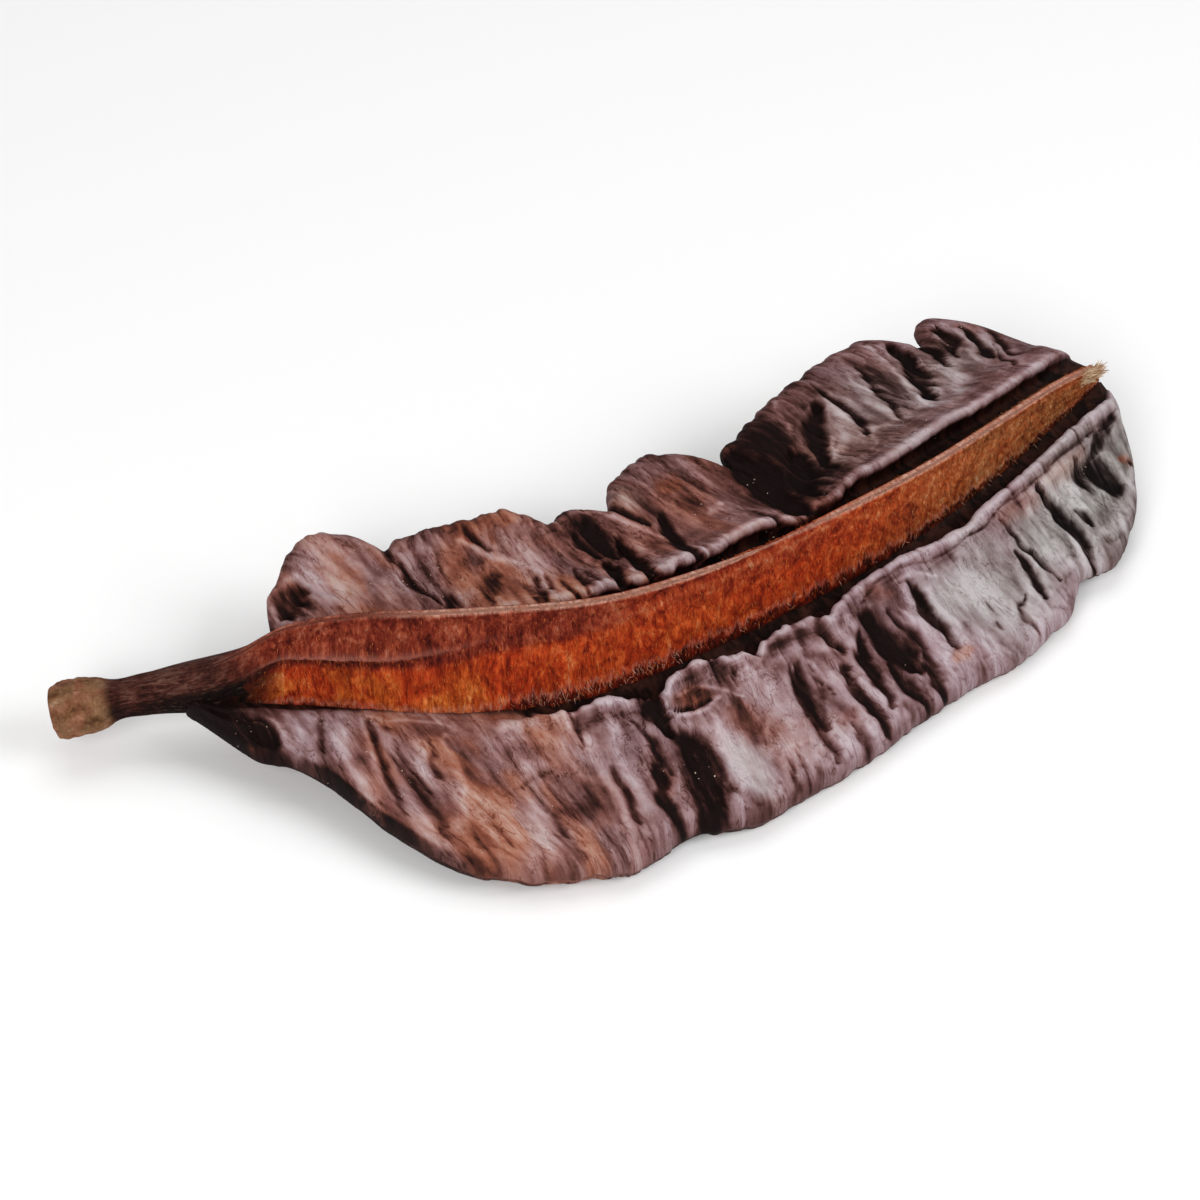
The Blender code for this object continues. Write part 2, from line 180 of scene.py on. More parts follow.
# Materials: small helpers that add and wire nodes
class Shading:
    def __init__(self, name):
        self.material = bpy.data.materials.new(name)
        self.material.use_nodes = True
        self.tree = self.material.node_tree
        self.shader = self.tree.nodes["Principled BSDF"]

    def node(self, kind, **settings):
        made = self.tree.nodes.new(kind)
        for key, value in settings.items():
            setattr(made, key, value)
        return made

    def feed(self, source, target):
        # the source is a number, a colour or another node's output
        if isinstance(source, (int, float)):
            target.default_value = source
        elif isinstance(source, tuple):
            target.default_value = (*source, 1.0)
        else:
            self.tree.links.new(source, target)

    def attribute(self, name):
        return self.node("ShaderNodeAttribute", attribute_name=name).outputs["Fac"]

    def noise(self, where, scale, detail, rough, bend):
        made = self.node("ShaderNodeTexNoise")
        numbers = (("Scale", scale), ("Detail", detail), ("Roughness", rough), ("Distortion", bend))
        for socket, number in numbers:
            made.inputs[socket].default_value = number
        self.feed(where, made.inputs["Vector"])
        return made.outputs["Fac"]

    def grain(self, along, across, detail, rough, bend):
        # noise that follows the skin, with its repeats in 10 mm along and across
        mapping = self.node("ShaderNodeMapping")
        mapping.inputs["Scale"].default_value = (along, across, 1.0)
        self.feed(self.node("ShaderNodeUVMap", uv_map="grain").outputs["UV"], mapping.inputs["Vector"])
        return self.noise(mapping.outputs["Vector"], 1.0, detail, rough, bend)

    def speckle(self, scale, detail, rough, bend=0.0):
        # noise in the space of the whole pod, with its repeats in a metre
        return self.noise(self.node("ShaderNodeTexCoord").outputs["Object"], scale, detail, rough, bend)

    def spread(self, value, low, high, toLow=0.0, toHigh=1.0):
        made = self.node("ShaderNodeMapRange", interpolation_type="SMOOTHSTEP")
        for socket, number in (("From Min", low), ("From Max", high), ("To Min", toLow), ("To Max", toHigh)):
            made.inputs[socket].default_value = number
        self.feed(value, made.inputs["Value"])
        return made.outputs["Result"]

    def calc(self, operation, first, *others):
        # from left to right over all the values
        for other in others:
            made = self.node("ShaderNodeMath", operation=operation)
            self.feed(first, made.inputs[0])
            self.feed(other, made.inputs[1])
            first = made.outputs["Value"]
        return first

    def plus(self, *values):
        return self.calc("ADD", *values)

    def less(self, *values):
        return self.calc("SUBTRACT", *values)

    def times(self, *values):
        return self.calc("MULTIPLY", *values)

    def weigh(self, tone, parts):
        # adds each field by its weight, or takes it away where the weight is negative
        for field, weight in parts:
            tone = self.calc("ADD" if weight > 0 else "SUBTRACT", tone, self.times(field, abs(weight)))
        return tone

    def threads(self, field, middle, width):
        # thin lines where the field crosses its middle
        return self.spread(self.calc("ABSOLUTE", self.less(field, middle), 0.0), 0.0, width, 1.0, 0.0)

    def mix(self, share, first, second):
        made = self.node("ShaderNodeMix", data_type="RGBA")
        for k, value in ((0, share), (6, first), (7, second)):
            self.feed(value, made.inputs[k])
        return made.outputs[2]

    def coat(self, colour, coats):
        # lays each coat over the colour by its share
        for share, over in coats:
            colour = self.mix(share, colour, over)
        return colour

    def ramp(self, value, places, colours):
        made = self.node("ShaderNodeValToRGB")
        bar = made.color_ramp.elements
        while len(bar) < len(places):
            bar.new(0.5)
        for element, at, colour in zip(bar, places, colours):
            element.position = at
            element.color = (*colour, 1.0)
        self.feed(value, made.inputs["Fac"])
        return made.outputs["Color"]

    def bump(self, height, distance, strength, under=None):
        made = self.node("ShaderNodeBump")
        made.inputs["Distance"].default_value = distance
        made.inputs["Strength"].default_value = strength
        self.feed(height, made.inputs["Height"])
        if under is not None:
            self.feed(under, made.inputs["Normal"])
        return made.outputs["Normal"]

    def finish(self, colour, roughness, specular, normal=None):
        sources = {
            "Base Color": colour, "Roughness": roughness, "Specular IOR Level": specular, "Normal": normal,
        }
        for socket, source in sources.items():
            if source is not None:
                self.feed(source, self.shader.inputs[socket])
        return self.material


# The woody spine: an upright keel above and below, opening out of a round stalk with a knob
spine = {
    "topKeel": (
        (-22, 4.0), (-2, 4.8), (6, 9.6), (14, 14.6), (25, 18), (45, 18.6), (70, 15), (120, 14.4),
        (145, 11.5), (160, 7.5), (168, 3.4),
    ),
    "lowKeel": (
        (-22, 4.0), (-2, 4.2), (12, 8.6), (25, 12.6), (36, 13.8), (50, 13.0), (75, 12.2), (100, 12.8),
        (118, 13.9), (130, 13.2), (145, 10.5), (158, 7), (168, 2.6),
    ),
    "foot": (
        (-22, 4.0), (0, 4.6), (10, 5.0), (20, 6.1), (30, 7.5), (40, 8.5), (50, 8.4), (60, 7.7), (75, 6.8),
        (85, 6.2), (95, 5.8), (105, 5.6), (115, 5.3), (135, 4.5), (150, 3.8), (168, 2.2),
    ),
    "footHeight": 1.2,
    "crestHalf": 0.6,
    "crestRounding": (0.955, 0.93),  # share of the upper and the lower keel where its crest turns in
    "flankPower": 1.15,
    "stem": (
        (-22, 3.7), (-21.88, 4.05), (-21.5, 4.25), (-19, 4.3), (-14.8, 4.15), (-13.4, 3.45), (-8, 3.3),
        (-2, 4.0), (12, 5.8),
    ),
    "neck": (-4.0, 16.0),
    "ledgeRise": (
        (-2, 0.58), (8, 0.64), (14, 0.67), (20, 0.62), (30, 0.59), (38, 0.64), (46, 0.73), (60, 0.8),
    ),
    "ledgeOut": ((-22, 0), (4, 0.0), (12, 0.6), (20, 1.0), (32, 0.8), (42, 0.25), (50, 0.0), (168, 0.0)),
    "lumps": 0.16,
    "fibres": 0.10,
    "hollows": 0.55,
    "bark": 0.16,
    "knobLumps": 0.32,
    "knob": (-14.6, -12.6),  # where the knob passes into the stalk
    "ends": (-22, 168),
    "fineTo": -10,  # closer stations up to here, for the knob
    "fineStations": 69,
    "stations": 551,
    "flankPoints": 46,
    "lowPoints": 26,
}


def makeSpine():
    start, end = spine["ends"]
    fine = np.linspace(start, spine["fineTo"], spine["fineStations"] + 1)[:-1]
    s = np.concatenate([fine, np.linspace(spine["fineTo"], end, spine["stations"])])[:, None]
    foot, footHeight, crestHalf = curveThrough(spine["foot"], s), spine["footHeight"], spine["crestHalf"]
    roundTop, roundLow = spine["crestRounding"]
    t = np.linspace(0, 1, spine["flankPoints"])
    rise = 1 - (0.12 * t + 0.88 * t**1.25)  # 1 at the crest and 0 at the foot, closer together at the crest
    flank = crestHalf + (foot - crestHalf) * (1 - rise) ** spine["flankPower"]
    flank = flank * rounded(rise, roundTop)
    flank = flank + 0.12 * np.exp(-(((rise - 0.965) / 0.02) ** 2)) * ease(s, 2, 20)
    ledgeAt = curveThrough(spine["ledgeRise"], s)
    ledgeOut = curveThrough(spine["ledgeOut"], s)
    ledge = np.exp(-(((rise - ledgeAt) / 0.045) ** 2))
    below = ledgeAt - rise
    flank = flank + ledgeOut * (ledge - 0.2 * ease(below, -0.03, 0.03) * (1 - ease(below, 0.0, 0.5)))
    flankHeight = footHeight + (curveThrough(spine["topKeel"], s) - footHeight) * rise
    fall = np.linspace(0, 1, spine["lowPoints"])[1:]
    lowFlank = crestHalf + (foot - crestHalf) * (1 - fall) ** spine["flankPower"]
    lowFlank = lowFlank * rounded(fall, roundLow)
    lowHeight = -footHeight - (curveThrough(spine["lowKeel"], s) - footHeight) * fall

    def side(seed):
        # a suede flank: small lumps, fibres that run down it, and shallow hollows above the ledge
        lumps = spine["lumps"] * layeredNoise(s / 2.6, rise * 9, seed, 3)
        fibres = spine["fibres"] * layeredNoise(s / 0.55, rise * 5, seed + 7, 2)
        body = ease(s, 8, 18) * between(rise, 0.02, 0.93, 0.03)
        hollows = spine["hollows"] * np.clip(softNoise(s / 5.5, rise * 6, seed + 11) - 0.25, 0, 1)
        upper = between(s, 6, 40, 5) * between(rise, 0.62, 0.9, 0.08)
        top = flank + (lumps + fibres) * body - hollows * upper
        low = lowFlank + spine["lumps"] * layeredNoise(s / 2.6, fall * 9, seed + 20, 3) * ease(s, 4, 18)
        return np.concatenate([top, low], 1)

    height = np.concatenate([flankHeight, lowHeight], 1)
    right, left = side(31), side(57)
    around = height.shape[1]
    angle = np.linspace(math.pi / 2, -math.pi / 2, around)
    radius = curveThrough(spine["stem"], s)
    opened = ease(s, *spine["neck"])
    knob = 1 - ease(s, *spine["knob"])

    def roughness(seed, shift):
        bark = spine["bark"] * layeredNoise(s / 5 * 0.5, 4 * np.sin(angle) + shift, seed, 3)
        lumps = layeredNoise(s / 2.2, 2.5 * np.sin(angle) + shift + 44, seed + 4, 3)
        lumps = spine["knobLumps"] * knob * lumps
        return bark + lumps

    roughRight, roughLeft = roughness(71, 6), roughness(73, 26)
    right = right * opened + (radius + roughRight) * np.cos(angle) * (1 - opened)
    left = left * opened + (radius + roughLeft) * np.cos(angle) * (1 - opened)
    height = height * opened + (radius + 0.5 * (roughRight + roughLeft)) * np.sin(angle) * (1 - opened)
    for half in (right, left):
        half[:, 0] = half[:, -1] = 0.0

    def mirrored(values, other=None):
        # the right half from the top down, then the left half back up
        values = np.broadcast_to(values, (len(s), around))
        other = values if other is None else other
        return np.concatenate([values, other[:, -2:0:-1]], 1)

    rings = place(s, mirrored(right, -left), mirrored(height))
    level = np.concatenate([0 * s + rise, 0 * s - fall], 1)
    flat = 0 * lowFlank
    neckShade = ease(s, -9, -3) * (1 - ease(s + 5 * (0.3 - level), 8.5, 15.5))
    underLedge = np.exp(-(((rise - ledgeAt + 0.085) / 0.05) ** 2)) * ledgeOut
    attributes = {
        "rise": mirrored(level),
        "stalk": mirrored(1 - ease(s + 4 * np.abs(level - 0.4), 4, 15)),
        "knob": mirrored(knob),
        "neckShade": mirrored(neckShade * (1 - ease(level, 0.52, 0.72)) * ease(level, -0.7, -0.4)),
        # the upper flank in deep red: partly its redder colour, partly painted shadow just under the ledge
        "redZone": mirrored(ease(level, ledgeAt - 0.2, ledgeAt - 0.09) * (1 - ease(s, 58, 84))),
        "station": mirrored(s),
        "ledge": mirrored(np.concatenate([ledge**3 * ledgeOut, flat], 1)),
        "ledgeShade": mirrored(np.concatenate([underLedge, flat], 1)),
    }
    turn = np.broadcast_to(np.linspace(0, 1, around) * 2.6, (len(s), around))
    grain = np.stack([mirrored(s / 10), mirrored(turn, turn + 5)], -1)
    piece = skinPiece("woodySpine", rings, attributes, grain)
    piece.data.materials.append(spineFinish())
    count = spine["flankPoints"]
    flanks = [place(s, across[:, :count], height[:, :count]) for across in (-left, right)]
    return piece, s[:, 0], rise, flanks


# The spine's finish. A grain is its repeats in 10 mm along and across, detail, roughness and bend.
suede = {
    "nap": (24.0, 7.0, 4.0, 0.7, 0.5),
    "tufts": (10.0, 3.6, 5.0, 0.7, 1.2),
    "clouds": (3.6, 2.4, 4.0, 0.6, 0.8),
    "drift": (0.9, 1.1, 3.0, 0.5, 0.5),
    "frayed": (7.0, 1.0, 5.0, 0.65, 0.9),
    "streaks": (4.5, 10.0, 5.0, 0.65, 0.8),
    "shades": (0.0, 0.25, 0.5, 0.7, 0.9, 1.0),
    "orange": ((0.040, 0.005, 0.003), (0.17, 0.012, 0.004), (0.45, 0.038, 0.008),
               (0.66, 0.088, 0.016), (0.80, 0.22, 0.07), (0.84, 0.40, 0.20)),
    "golden": ((0.060, 0.008, 0.003), (0.22, 0.026, 0.005), (0.52, 0.090, 0.012),
               (0.72, 0.185, 0.030), (0.84, 0.34, 0.10), (0.86, 0.48, 0.25)),
    "brown": ((0.024, 0.005, 0.003), (0.12, 0.022, 0.007), (0.32, 0.082, 0.020),
              (0.48, 0.155, 0.045), (0.60, 0.29, 0.12), (0.66, 0.40, 0.22)),
    "deepRed": ((0.020, 0.003, 0.003), (0.060, 0.007, 0.005), (0.18, 0.022, 0.012),
                (0.33, 0.060, 0.030), (0.48, 0.150, 0.09), (0.55, 0.25, 0.17)),
    "barkShades": (0.12, 0.36, 0.56, 0.8),
    "bark": (
        (0.006, 0.0025, 0.002), (0.028, 0.0085, 0.0060), (0.095, 0.026, 0.018), (0.20, 0.095, 0.070),
    ),
    "knobShades": (0.30, 0.44, 0.60, 0.74),
    "knobOlive": ((0.110, 0.044, 0.019), (0.25, 0.118, 0.053), (0.38, 0.205, 0.108), (0.58, 0.38, 0.26)),
    "knobRuddy": ((0.125, 0.038, 0.017), (0.29, 0.106, 0.052), (0.43, 0.190, 0.108), (0.68, 0.40, 0.28)),
    "frayedTips": (0.62, 0.30, 0.22),
    "ledge": (0.50, 0.19, 0.14),
    "crest": ((0.52, 0.18, 0.11), (0.74, 0.42, 0.32)),
    "under": ((0.05, 0.012, 0.008), (0.16, 0.05, 0.022)),
    "neck": ((0.006, 0.003, 0.0025), (0.13, 0.075, 0.05)),
    "specular": 0.08,
}


def spineFinish():
    look = Shading("suedeKeel")
    spread, times, attribute = look.spread, look.times, look.attribute
    names = ("nap", "tufts", "clouds", "drift", "frayed", "streaks")
    nap, tufts, clouds, drift, frayed, streaks = (look.grain(*suede[name]) for name in names)
    rise, station = attribute("rise"), attribute("station")
    tone = look.plus(
        times(tufts, 1.15), times(nap, 0.6), times(clouds, 1.35), spread(station, 96, 134, -1.00, -0.95))
    # painted shade: the flank darkens towards its foot, where the crevice shades it, with a ragged edge of
    # paler fibre tips above the dark
    reach = spread(station, 36, 58, 0.16, 0.42)
    above = look.less(rise, times(look.less(frayed, 0.25), reach))
    tone = look.less(tone, times(spread(above, 0.05, -0.04), spread(rise, -0.05, 0.0), 0.48))
    fray = times(spread(above, -0.02, 0.03), spread(above, 0.10, 0.04), spread(nap, 0.45, 0.62, 0.15, 1.0),
                 spread(rise, 0.0, 0.05))
    tone = look.weigh(tone, ((attribute("ledgeShade"), -0.3),))
    names = ("orange", "golden", "brown", "deepRed")
    ramps = (look.ramp(tone, suede["shades"], suede[name]) for name in names)
    orange, golden, brown, deepRed = ramps
    goldenShare = times(
        spread(drift, 0.44, 0.6), spread(station, 60, 38, 0.15, 0.85), spread(rise, 0.85, 0.45, 0.15, 1.0))
    upperRed = times(spread(rise, 0.5, 0.85, 0.0, 0.5), spread(station, 116, 96))
    skin = look.coat(orange, (
        (goldenShare, golden),
        (times(spread(station, 100, 142), spread(drift, 0.3, 0.6, 1.0, 0.7)), brown),
        # deep red: partly the flank's own colour, partly painted shadow under the ledge
        (look.calc("MAXIMUM", times(attribute("redZone"), 0.9), upperRed), deepRed),
        (times(fray, 0.55), suede["frayedTips"]),
        (times(attribute("ledge"), 0.7), suede["ledge"]),
        # a pale line along the crest: partly its paler colour, partly painted highlight
        (times(spread(rise, 0.966, 0.994), spread(station, 26, 42, 0.15, 1.0)),
         look.mix(spread(tufts, 0.4, 0.62), *suede["crest"])),
    ))
    under = look.mix(spread(clouds, 0.3, 0.7), *suede["under"])
    # painted shade: the stalk is darker on its lower side
    barkTone = look.plus(
        times(streaks, 1.25), spread(rise, 0.2, 0.9, -0.32, -0.05), times(look.less(clouds, 0.5), 0.7))
    crumbs = look.speckle(420.0, 6.0, 0.68)
    chips = look.speckle(250.0, 2.5, 0.5, 0.8)
    olive, ruddy = (
        look.ramp(crumbs, suede["knobShades"], suede[name]) for name in ("knobOlive", "knobRuddy"))
    skin = look.coat(skin, (
        # painted shade: the lower keel, under the pod, is darker
        (spread(rise, -0.05, -0.3), look.mix(0.4, skin, under)),
        (attribute("stalk"), look.ramp(barkTone, suede["barkShades"], suede["bark"])),
        (times(attribute("neckShade"), spread(clouds, 0.36, 0.58, 0.6, 1.0)),
         look.mix(spread(streaks, 0.56, 0.70), *suede["neck"])),
        (attribute("knob"), look.mix(spread(chips, 0.38, 0.58), olive, ruddy)),
    ))
    rough = spread(tufts, 0.3, 0.7, 0.9, 0.65)
    normal = look.bump(tufts, 0.0014, 0.9, look.bump(nap, 0.0006, 0.8))
    return look.finish(skin, rough, suede["specular"], normal)


# The two pulp wings. Most tables give a value by station. A fold is (station at the root, extra
# slant, where it begins and ends across the wing, its reach to either side, its depth), and the
# underside has them. The upper skin is worked with strokes instead: (kind, half width, depth or
# strength, then the station and the distance across of each point on its path).
# Among the strokes, pale paints sheen on the raised skin, partly a paler bloom; cool paints an ashen grey,
# partly its own tint and partly painted reflection; shade paints shade; dark darkens the skin; hollows and
# creases also paint shade, and ridges a highlight.
nearWing = {
    "side": -1,
    "ends": (-1.5, 168.5),
    # broad lightness along the wing: partly its own tone, partly painted light and shade
    "light": (
        (0, 0.30), (9, 0.54), (18, 0.66), (25, 0.66), (36, 0.67), (52, 0.67), (62, 0.60), (70, 0.55),
        (80, 0.66), (92, 0.63), (104, 0.56), (112, 0.65), (122, 0.72), (142, 0.71), (152, 0.64),
        (166, 0.72),
    ),
    "warmth": (
        (0, 0.25), (14, 0.2), (26, 0.65), (48, 0.6), (58, 0.15), (70, 0.14), (96, 0.08), (112, 0.0),
        (168, 0.0),
    ),
    "width": (
        (-1.5, 3.6), (1.5, 8.8), (4, 12.2), (11, 15.0), (15, 19.2), (20, 27), (23, 32.6), (28, 35.2),
        (42, 37), (52, 37.2), (59, 36.2), (64, 34.2), (71, 35.6), (87, 34.4), (103, 31.4), (127, 31),
        (135, 29.6), (141.5, 26.4), (145.5, 27.8), (152, 27.2), (158, 24), (163, 19), (166, 14.5),
        (168.5, 9),
    ),
    "slant": (
        (0, 0.6), (20, 0.6), (40, 0.45), (55, 0.15), (70, 0.0), (100, 0.1), (130, 0.0), (167, -0.2),
    ),
    "lip": ((0, 0.0), (36, 0.0), (48, 0.3), (56, 0.75), (66, 1.0), (140, 1.0), (158, 0.9), (166, 0.6)),
    "lipWander": (
        (0, 0), (30, 0), (40, 1.2), (48, 2.0), (57, 2.6), (64, 3.0), (67.5, 4.6), (70, 3.8), (72.5, 2.2),
        (76, 1.7), (80, 2.4), (83, 3.2), (84.8, 4.4), (86.5, 3.0), (89, 2.1), (94, 1.8), (96.6, 1.9),
        (98.2, 3.2), (100, 2.2), (103, 1.2), (107, 0.4), (112, 0), (117, 0), (121, 0.8), (125, 0.8),
        (128, 1.2), (131, 0.4), (140, -0.1), (150, -0.3), (168.5, 0),
    ),
    "droop": 2.8,
    "nicks": ((0, 0), (54, 0), (60, 0.6), (100, 0.4), (106, 0.2), (116, 0.35), (168, 0.35)),
    "restless": ((0, 1.0), (98, 1.0), (108, 0.5), (168, 0.5)),
    # how strongly the painted shade in the hollows and creases darkens, by station
    "hollowShade": (
        (0, 0.75), (14, 0.55), (56, 0.6), (63, 0.9), (78, 0.9), (86, 0.72), (110, 0.72), (116, 0.9),
        (168, 0.86),
    ),
    "half": ((0, 2.6), (10, 3.6), (30, 4.2), (110, 4.0), (167, 2.8)),
    "folds": (
        (8, 0.0, 7, 18, 3.4, 2.2), (16.5, 0.0, 8, 17, 2.4, 1.2), (25, 0.0, 10, 33, 2.8, 1.5),
        (32.5, 0.0, 12, 25, 2.4, 1.1), (40.5, -0.12, 16, 36, 2.6, 0.9), (45, 0.0, 9, 20, 2.8, 1.4),
        (52, 0.0, 8, 17, 2.4, 1.1), (57.5, 0.0, 18, 34, 2.6, 1.4), (63, 0.0, 8, 20, 2.6, 1.4),
        (70.5, -0.15, 16, 40, 5.0, 3.4), (80.5, 0.0, 26, 40, 2.4, 1.1), (87.5, 0.0, 13, 32, 3.2, 2.5),
        (97.5, 0.0, 8, 31, 2.8, 1.7), (106, 0.05, 11, 28, 3.4, 2.6), (113.5, 0.0, 10, 25, 2.4, 2.0),
        (126.5, 0.0, 20, 34, 2.4, 1.0), (133.5, -0.05, 11, 27, 2.6, 1.6), (143.5, -0.1, 11, 32, 3.0, 2.4),
        (152.5, 0.0, 10, 25, 3.2, 2.4), (160.5, 0.0, 7, 18, 2.6, 1.8),
    ),
    "strokes": (
        ("shade", 4, 0.6, 1, 7, 5, 10, 9, 13), ("shade", 4, 0.4, 24, 14, 26, 26),
        ("shade", 5, 0.4, 48, 13, 52, 27), ("rust", 8.5, 0.85, 33, 15, 32, 27, 43, 33),
        ("rust", 6.5, 0.75, 43, 14, 47, 24), ("rust", 3.5, 0.5, 27, 11, 29, 16),
        ("rust", 4.5, 0.45, 78, 20, 83, 28, 92, 28), ("rust", 3, 0.4, 64, 20, 63, 28),
        ("shade", 2.2, 0.4, 37, 20, 36, 28), ("shade", 3.5, 0.6, 64, 16, 64.5, 26),
        ("dark", 1.2, 0.5, 73, 12.4, 78, 12.1, 82, 13.4),
        ("dark", 1.1, 0.5, 88, 12.2, 92, 11.8, 95.5, 12.6),
        ("crease", 0.5, 0.5, 104, 11.6, 108, 10.2, 113, 9.8, 118, 10.4, 124, 11.3, 130, 10.9, 137, 9.8),
        ("crease", 0.5, 0.45, 134, 10.2, 142, 9.6, 150, 9.2, 158, 8.9, 165, 8.6),
        ("rust", 2.2, 0.3, 134, 11.5, 145, 11.2, 154, 10.8),
        ("shade", 1, 0.5, 136, 9.8, 148, 9.5, 158, 9), ("hollow", 3.2, 2.4, 1.5, 6, 5, 8.5, 8, 11),
        ("ridge", 0.5, 0.8, 2.6, 8.4, 5, 10.6, 6, 12.2),
        ("ridge", 0.45, 0.7, 5.6, 7.4, 7.8, 9.4, 8.4, 11.6),
        ("ridge", 0.4, 0.6, 9.6, 8.6, 10.4, 11.4, 9.8, 13.2), ("dark", 3, 0.5, 2, 9, 7, 11),
        ("rust", 1.4, 1.2, 4.4, 12, 6.6, 13.2), ("pale", 1.2, 1, 4, 11.6, 6.4, 12.8),
        ("pale", 1.2, 1.4, 8.8, 12.6, 11.4, 13.8), ("pale", 2, 0.8, 12.6, 7.5, 13, 10, 11.8, 12.3),
        ("crease", 1, 1.1, 18.3, 7, 16.5, 10.5, 14.6, 14.5),
        ("pale", 1.7, 0.8, 21.3, 8.5, 19.5, 12, 17.3, 16, 18.8, 19.5),
        ("ridge", 0.6, 0.5, 25, 8.2, 24, 11, 22.6, 15, 21.5, 18),
        ("crease", 0.8, 1.2, 25.6, 9, 24.3, 13, 23.6, 17, 22.3, 21, 21.6, 25),
        ("crease", 1, 0.7, 25.4, 16, 25.8, 22, 24.8, 28, 24.2, 33),
        ("pale", 1.1, 0.55, 22.8, 22, 22.2, 27, 23.2, 31),
        ("ridge", 0.5, 0.4, 28, 9.5, 31, 9.2, 34, 9.8, 36.5, 11), ("dark", 1.6, 0.4, 27, 11.3, 33, 11.6),
        ("crease", 0.7, 0.7, 27.3, 13.5, 26.4, 17, 27, 22),
        ("crease", 0.7, 1, 32.2, 13.5, 30.6, 16.5, 29.2, 19.5),
        ("pale", 1.2, 0.6, 30.5, 13.5, 28.8, 17, 28, 21),
        ("ridge", 0.8, 0.9, 35.2, 12.5, 33.9, 14.5, 33, 18, 30.6, 22.5, 28.2, 27),
        ("rust", 3.6, 0.8, 37.5, 14, 36.5, 18, 35, 23, 32, 29),
        ("crease", 0.6, 0.8, 32, 24, 31.6, 29, 30.6, 32),
        ("ridge", 1.8, 0.7, 39.5, 24.5, 38.5, 29, 36, 34),
        ("pale", 2, 0.5, 39.2, 25, 38.2, 29, 35.8, 33.5),
        ("crease", 0.9, 0.5, 41.5, 23.6, 41.3, 28, 40.2, 32),
        ("rust", 3.8, 0.95, 45, 22.5, 45.3, 27, 45, 31),
        ("crease", 0.7, 0.45, 40, 22.5, 43, 21.2, 47.5, 20.7),
        ("pale", 0.9, 0.5, 42.5, 19.6, 45.5, 19.3, 49, 19.8),
        ("shade", 1.6, 0.8, 42.8, 27.6, 46, 28.6, 51.5, 27.5),
        ("pale", 1.4, 0.9, 43, 12.6, 46.3, 12.3, 48, 11.2),
        ("shade", 1.8, 0.7, 42.5, 16.4, 45.5, 17, 48.3, 16.6),
        ("pale", 0.8, 0.6, 49, 12, 48.3, 15, 49.5, 18), ("dark", 1.8, 0.5, 50.8, 11.5, 52, 15),
        ("ridge", 0.5, 0.7, 55, 12.5, 53.3, 15.5), ("crease", 0.7, 1.1, 55.6, 10, 54.9, 13.5, 54.6, 18),
        ("pale", 2, 0.5, 51.5, 18, 51.8, 22), ("dark", 2, 0.45, 51, 25, 52, 28.5),
        ("pale", 1.2, 0.7, 55.6, 16, 55.5, 25, 55.2, 33),
        ("crease", 0.9, 1.4, 57.4, 22, 57.3, 27, 57, 32),
        ("pale", 1.4, 0.7, 60, 14.5, 59.8, 21, 59.2, 28, 59, 33),
        ("pale", 1.2, 0.7, 58, 11.8, 61.5, 11.2, 65, 12),
        ("dark", 1.3, 0.5, 57, 14.4, 61, 14.2, 64.5, 14.6),
        ("hollow", 1.2, 1.3, 63.4, 24, 62.2, 29, 62.8, 34.5),
        ("crease", 0.8, 0.9, 62.8, 15.5, 64.3, 20, 64.8, 26),
        ("hollow", 3.5, 3, 69.6, 21, 69.6, 25, 69.2, 30, 67.4, 34.5),
        ("hollow", 1.7, 2.4, 67.4, 10.5, 66.6, 14.5, 67.5, 19),
        ("rust", 2.2, 0.9, 70.5, 14.6, 74.8, 15.2), ("shade", 1.6, 0.8, 70.6, 14.8, 74.9, 15.4),
        ("crease", 0.6, 1.1, 69.4, 16, 72.4, 16.6, 75.4, 16.2),
        ("ridge", 0.55, 1.7, 68, 15.4, 69.3, 16.9, 72, 17.4, 74.5, 17.5, 76.2, 16.4),
        ("ridge", 0.55, 1.6, 68, 15.6, 69.6, 12.9, 71.2, 11),
        ("ridge", 0.5, 0.6, 71, 14, 73.5, 13.5, 77, 14.8, 80, 17.5),
        ("pale", 2.2, 1.5, 74.8, 21, 75.6, 25), ("pale", 3.6, 1.8, 75.8, 25, 76.4, 33),
        ("cool", 3.4, 0.5, 75.6, 25, 76.2, 33),
        ("pale", 5.5, 0.55, 80, 30, 95, 31, 112, 28, 130, 27, 148, 24.5),
        ("pale", 2.6, 0.5, 14, 9, 20, 10), ("ridge", 0.9, 0.9, 74.4, 18.5, 75.5, 22, 75.2, 27),
        ("pale", 1.8, 0.7, 81.5, 12.5, 83.2, 17, 83.3, 22), ("pale", 1.3, 0.5, 84.5, 24, 84, 31),
        ("rust", 2.6, 0.5, 79.5, 19, 80.5, 25, 81.5, 31),
        ("dark", 1.4, 0.45, 78.2, 17, 79.5, 21, 79.5, 26), ("crease", 0.5, 0.8, 81.3, 29.5, 81.1, 34.5),
        ("crease", 0.5, 0.7, 82.9, 28, 83.1, 34.5), ("crease", 0.5, 0.9, 80.6, 9.5, 80.8, 12.5, 80.2, 15),
        ("hollow", 1.1, 2.2, 84.3, 8, 84.7, 12.5), ("hollow", 1.8, 2.3, 89.3, 17.3, 88.7, 22, 88, 27),
        ("crease", 1, 1.6, 87.6, 23, 87.2, 33), ("crease", 0.5, 0.8, 91.3, 16.5, 91.8, 22.8),
        ("pale", 1.2, 0.8, 91.2, 15.5, 93, 19, 93, 25), ("pale", 1.3, 0.7, 87, 14.4, 92, 13.8, 95, 15.5),
        ("crease", 0.6, 1.1, 91.2, 29, 91.3, 33.8), ("crease", 0.9, 1.6, 97.3, 9, 96.3, 13.5, 97, 17.5),
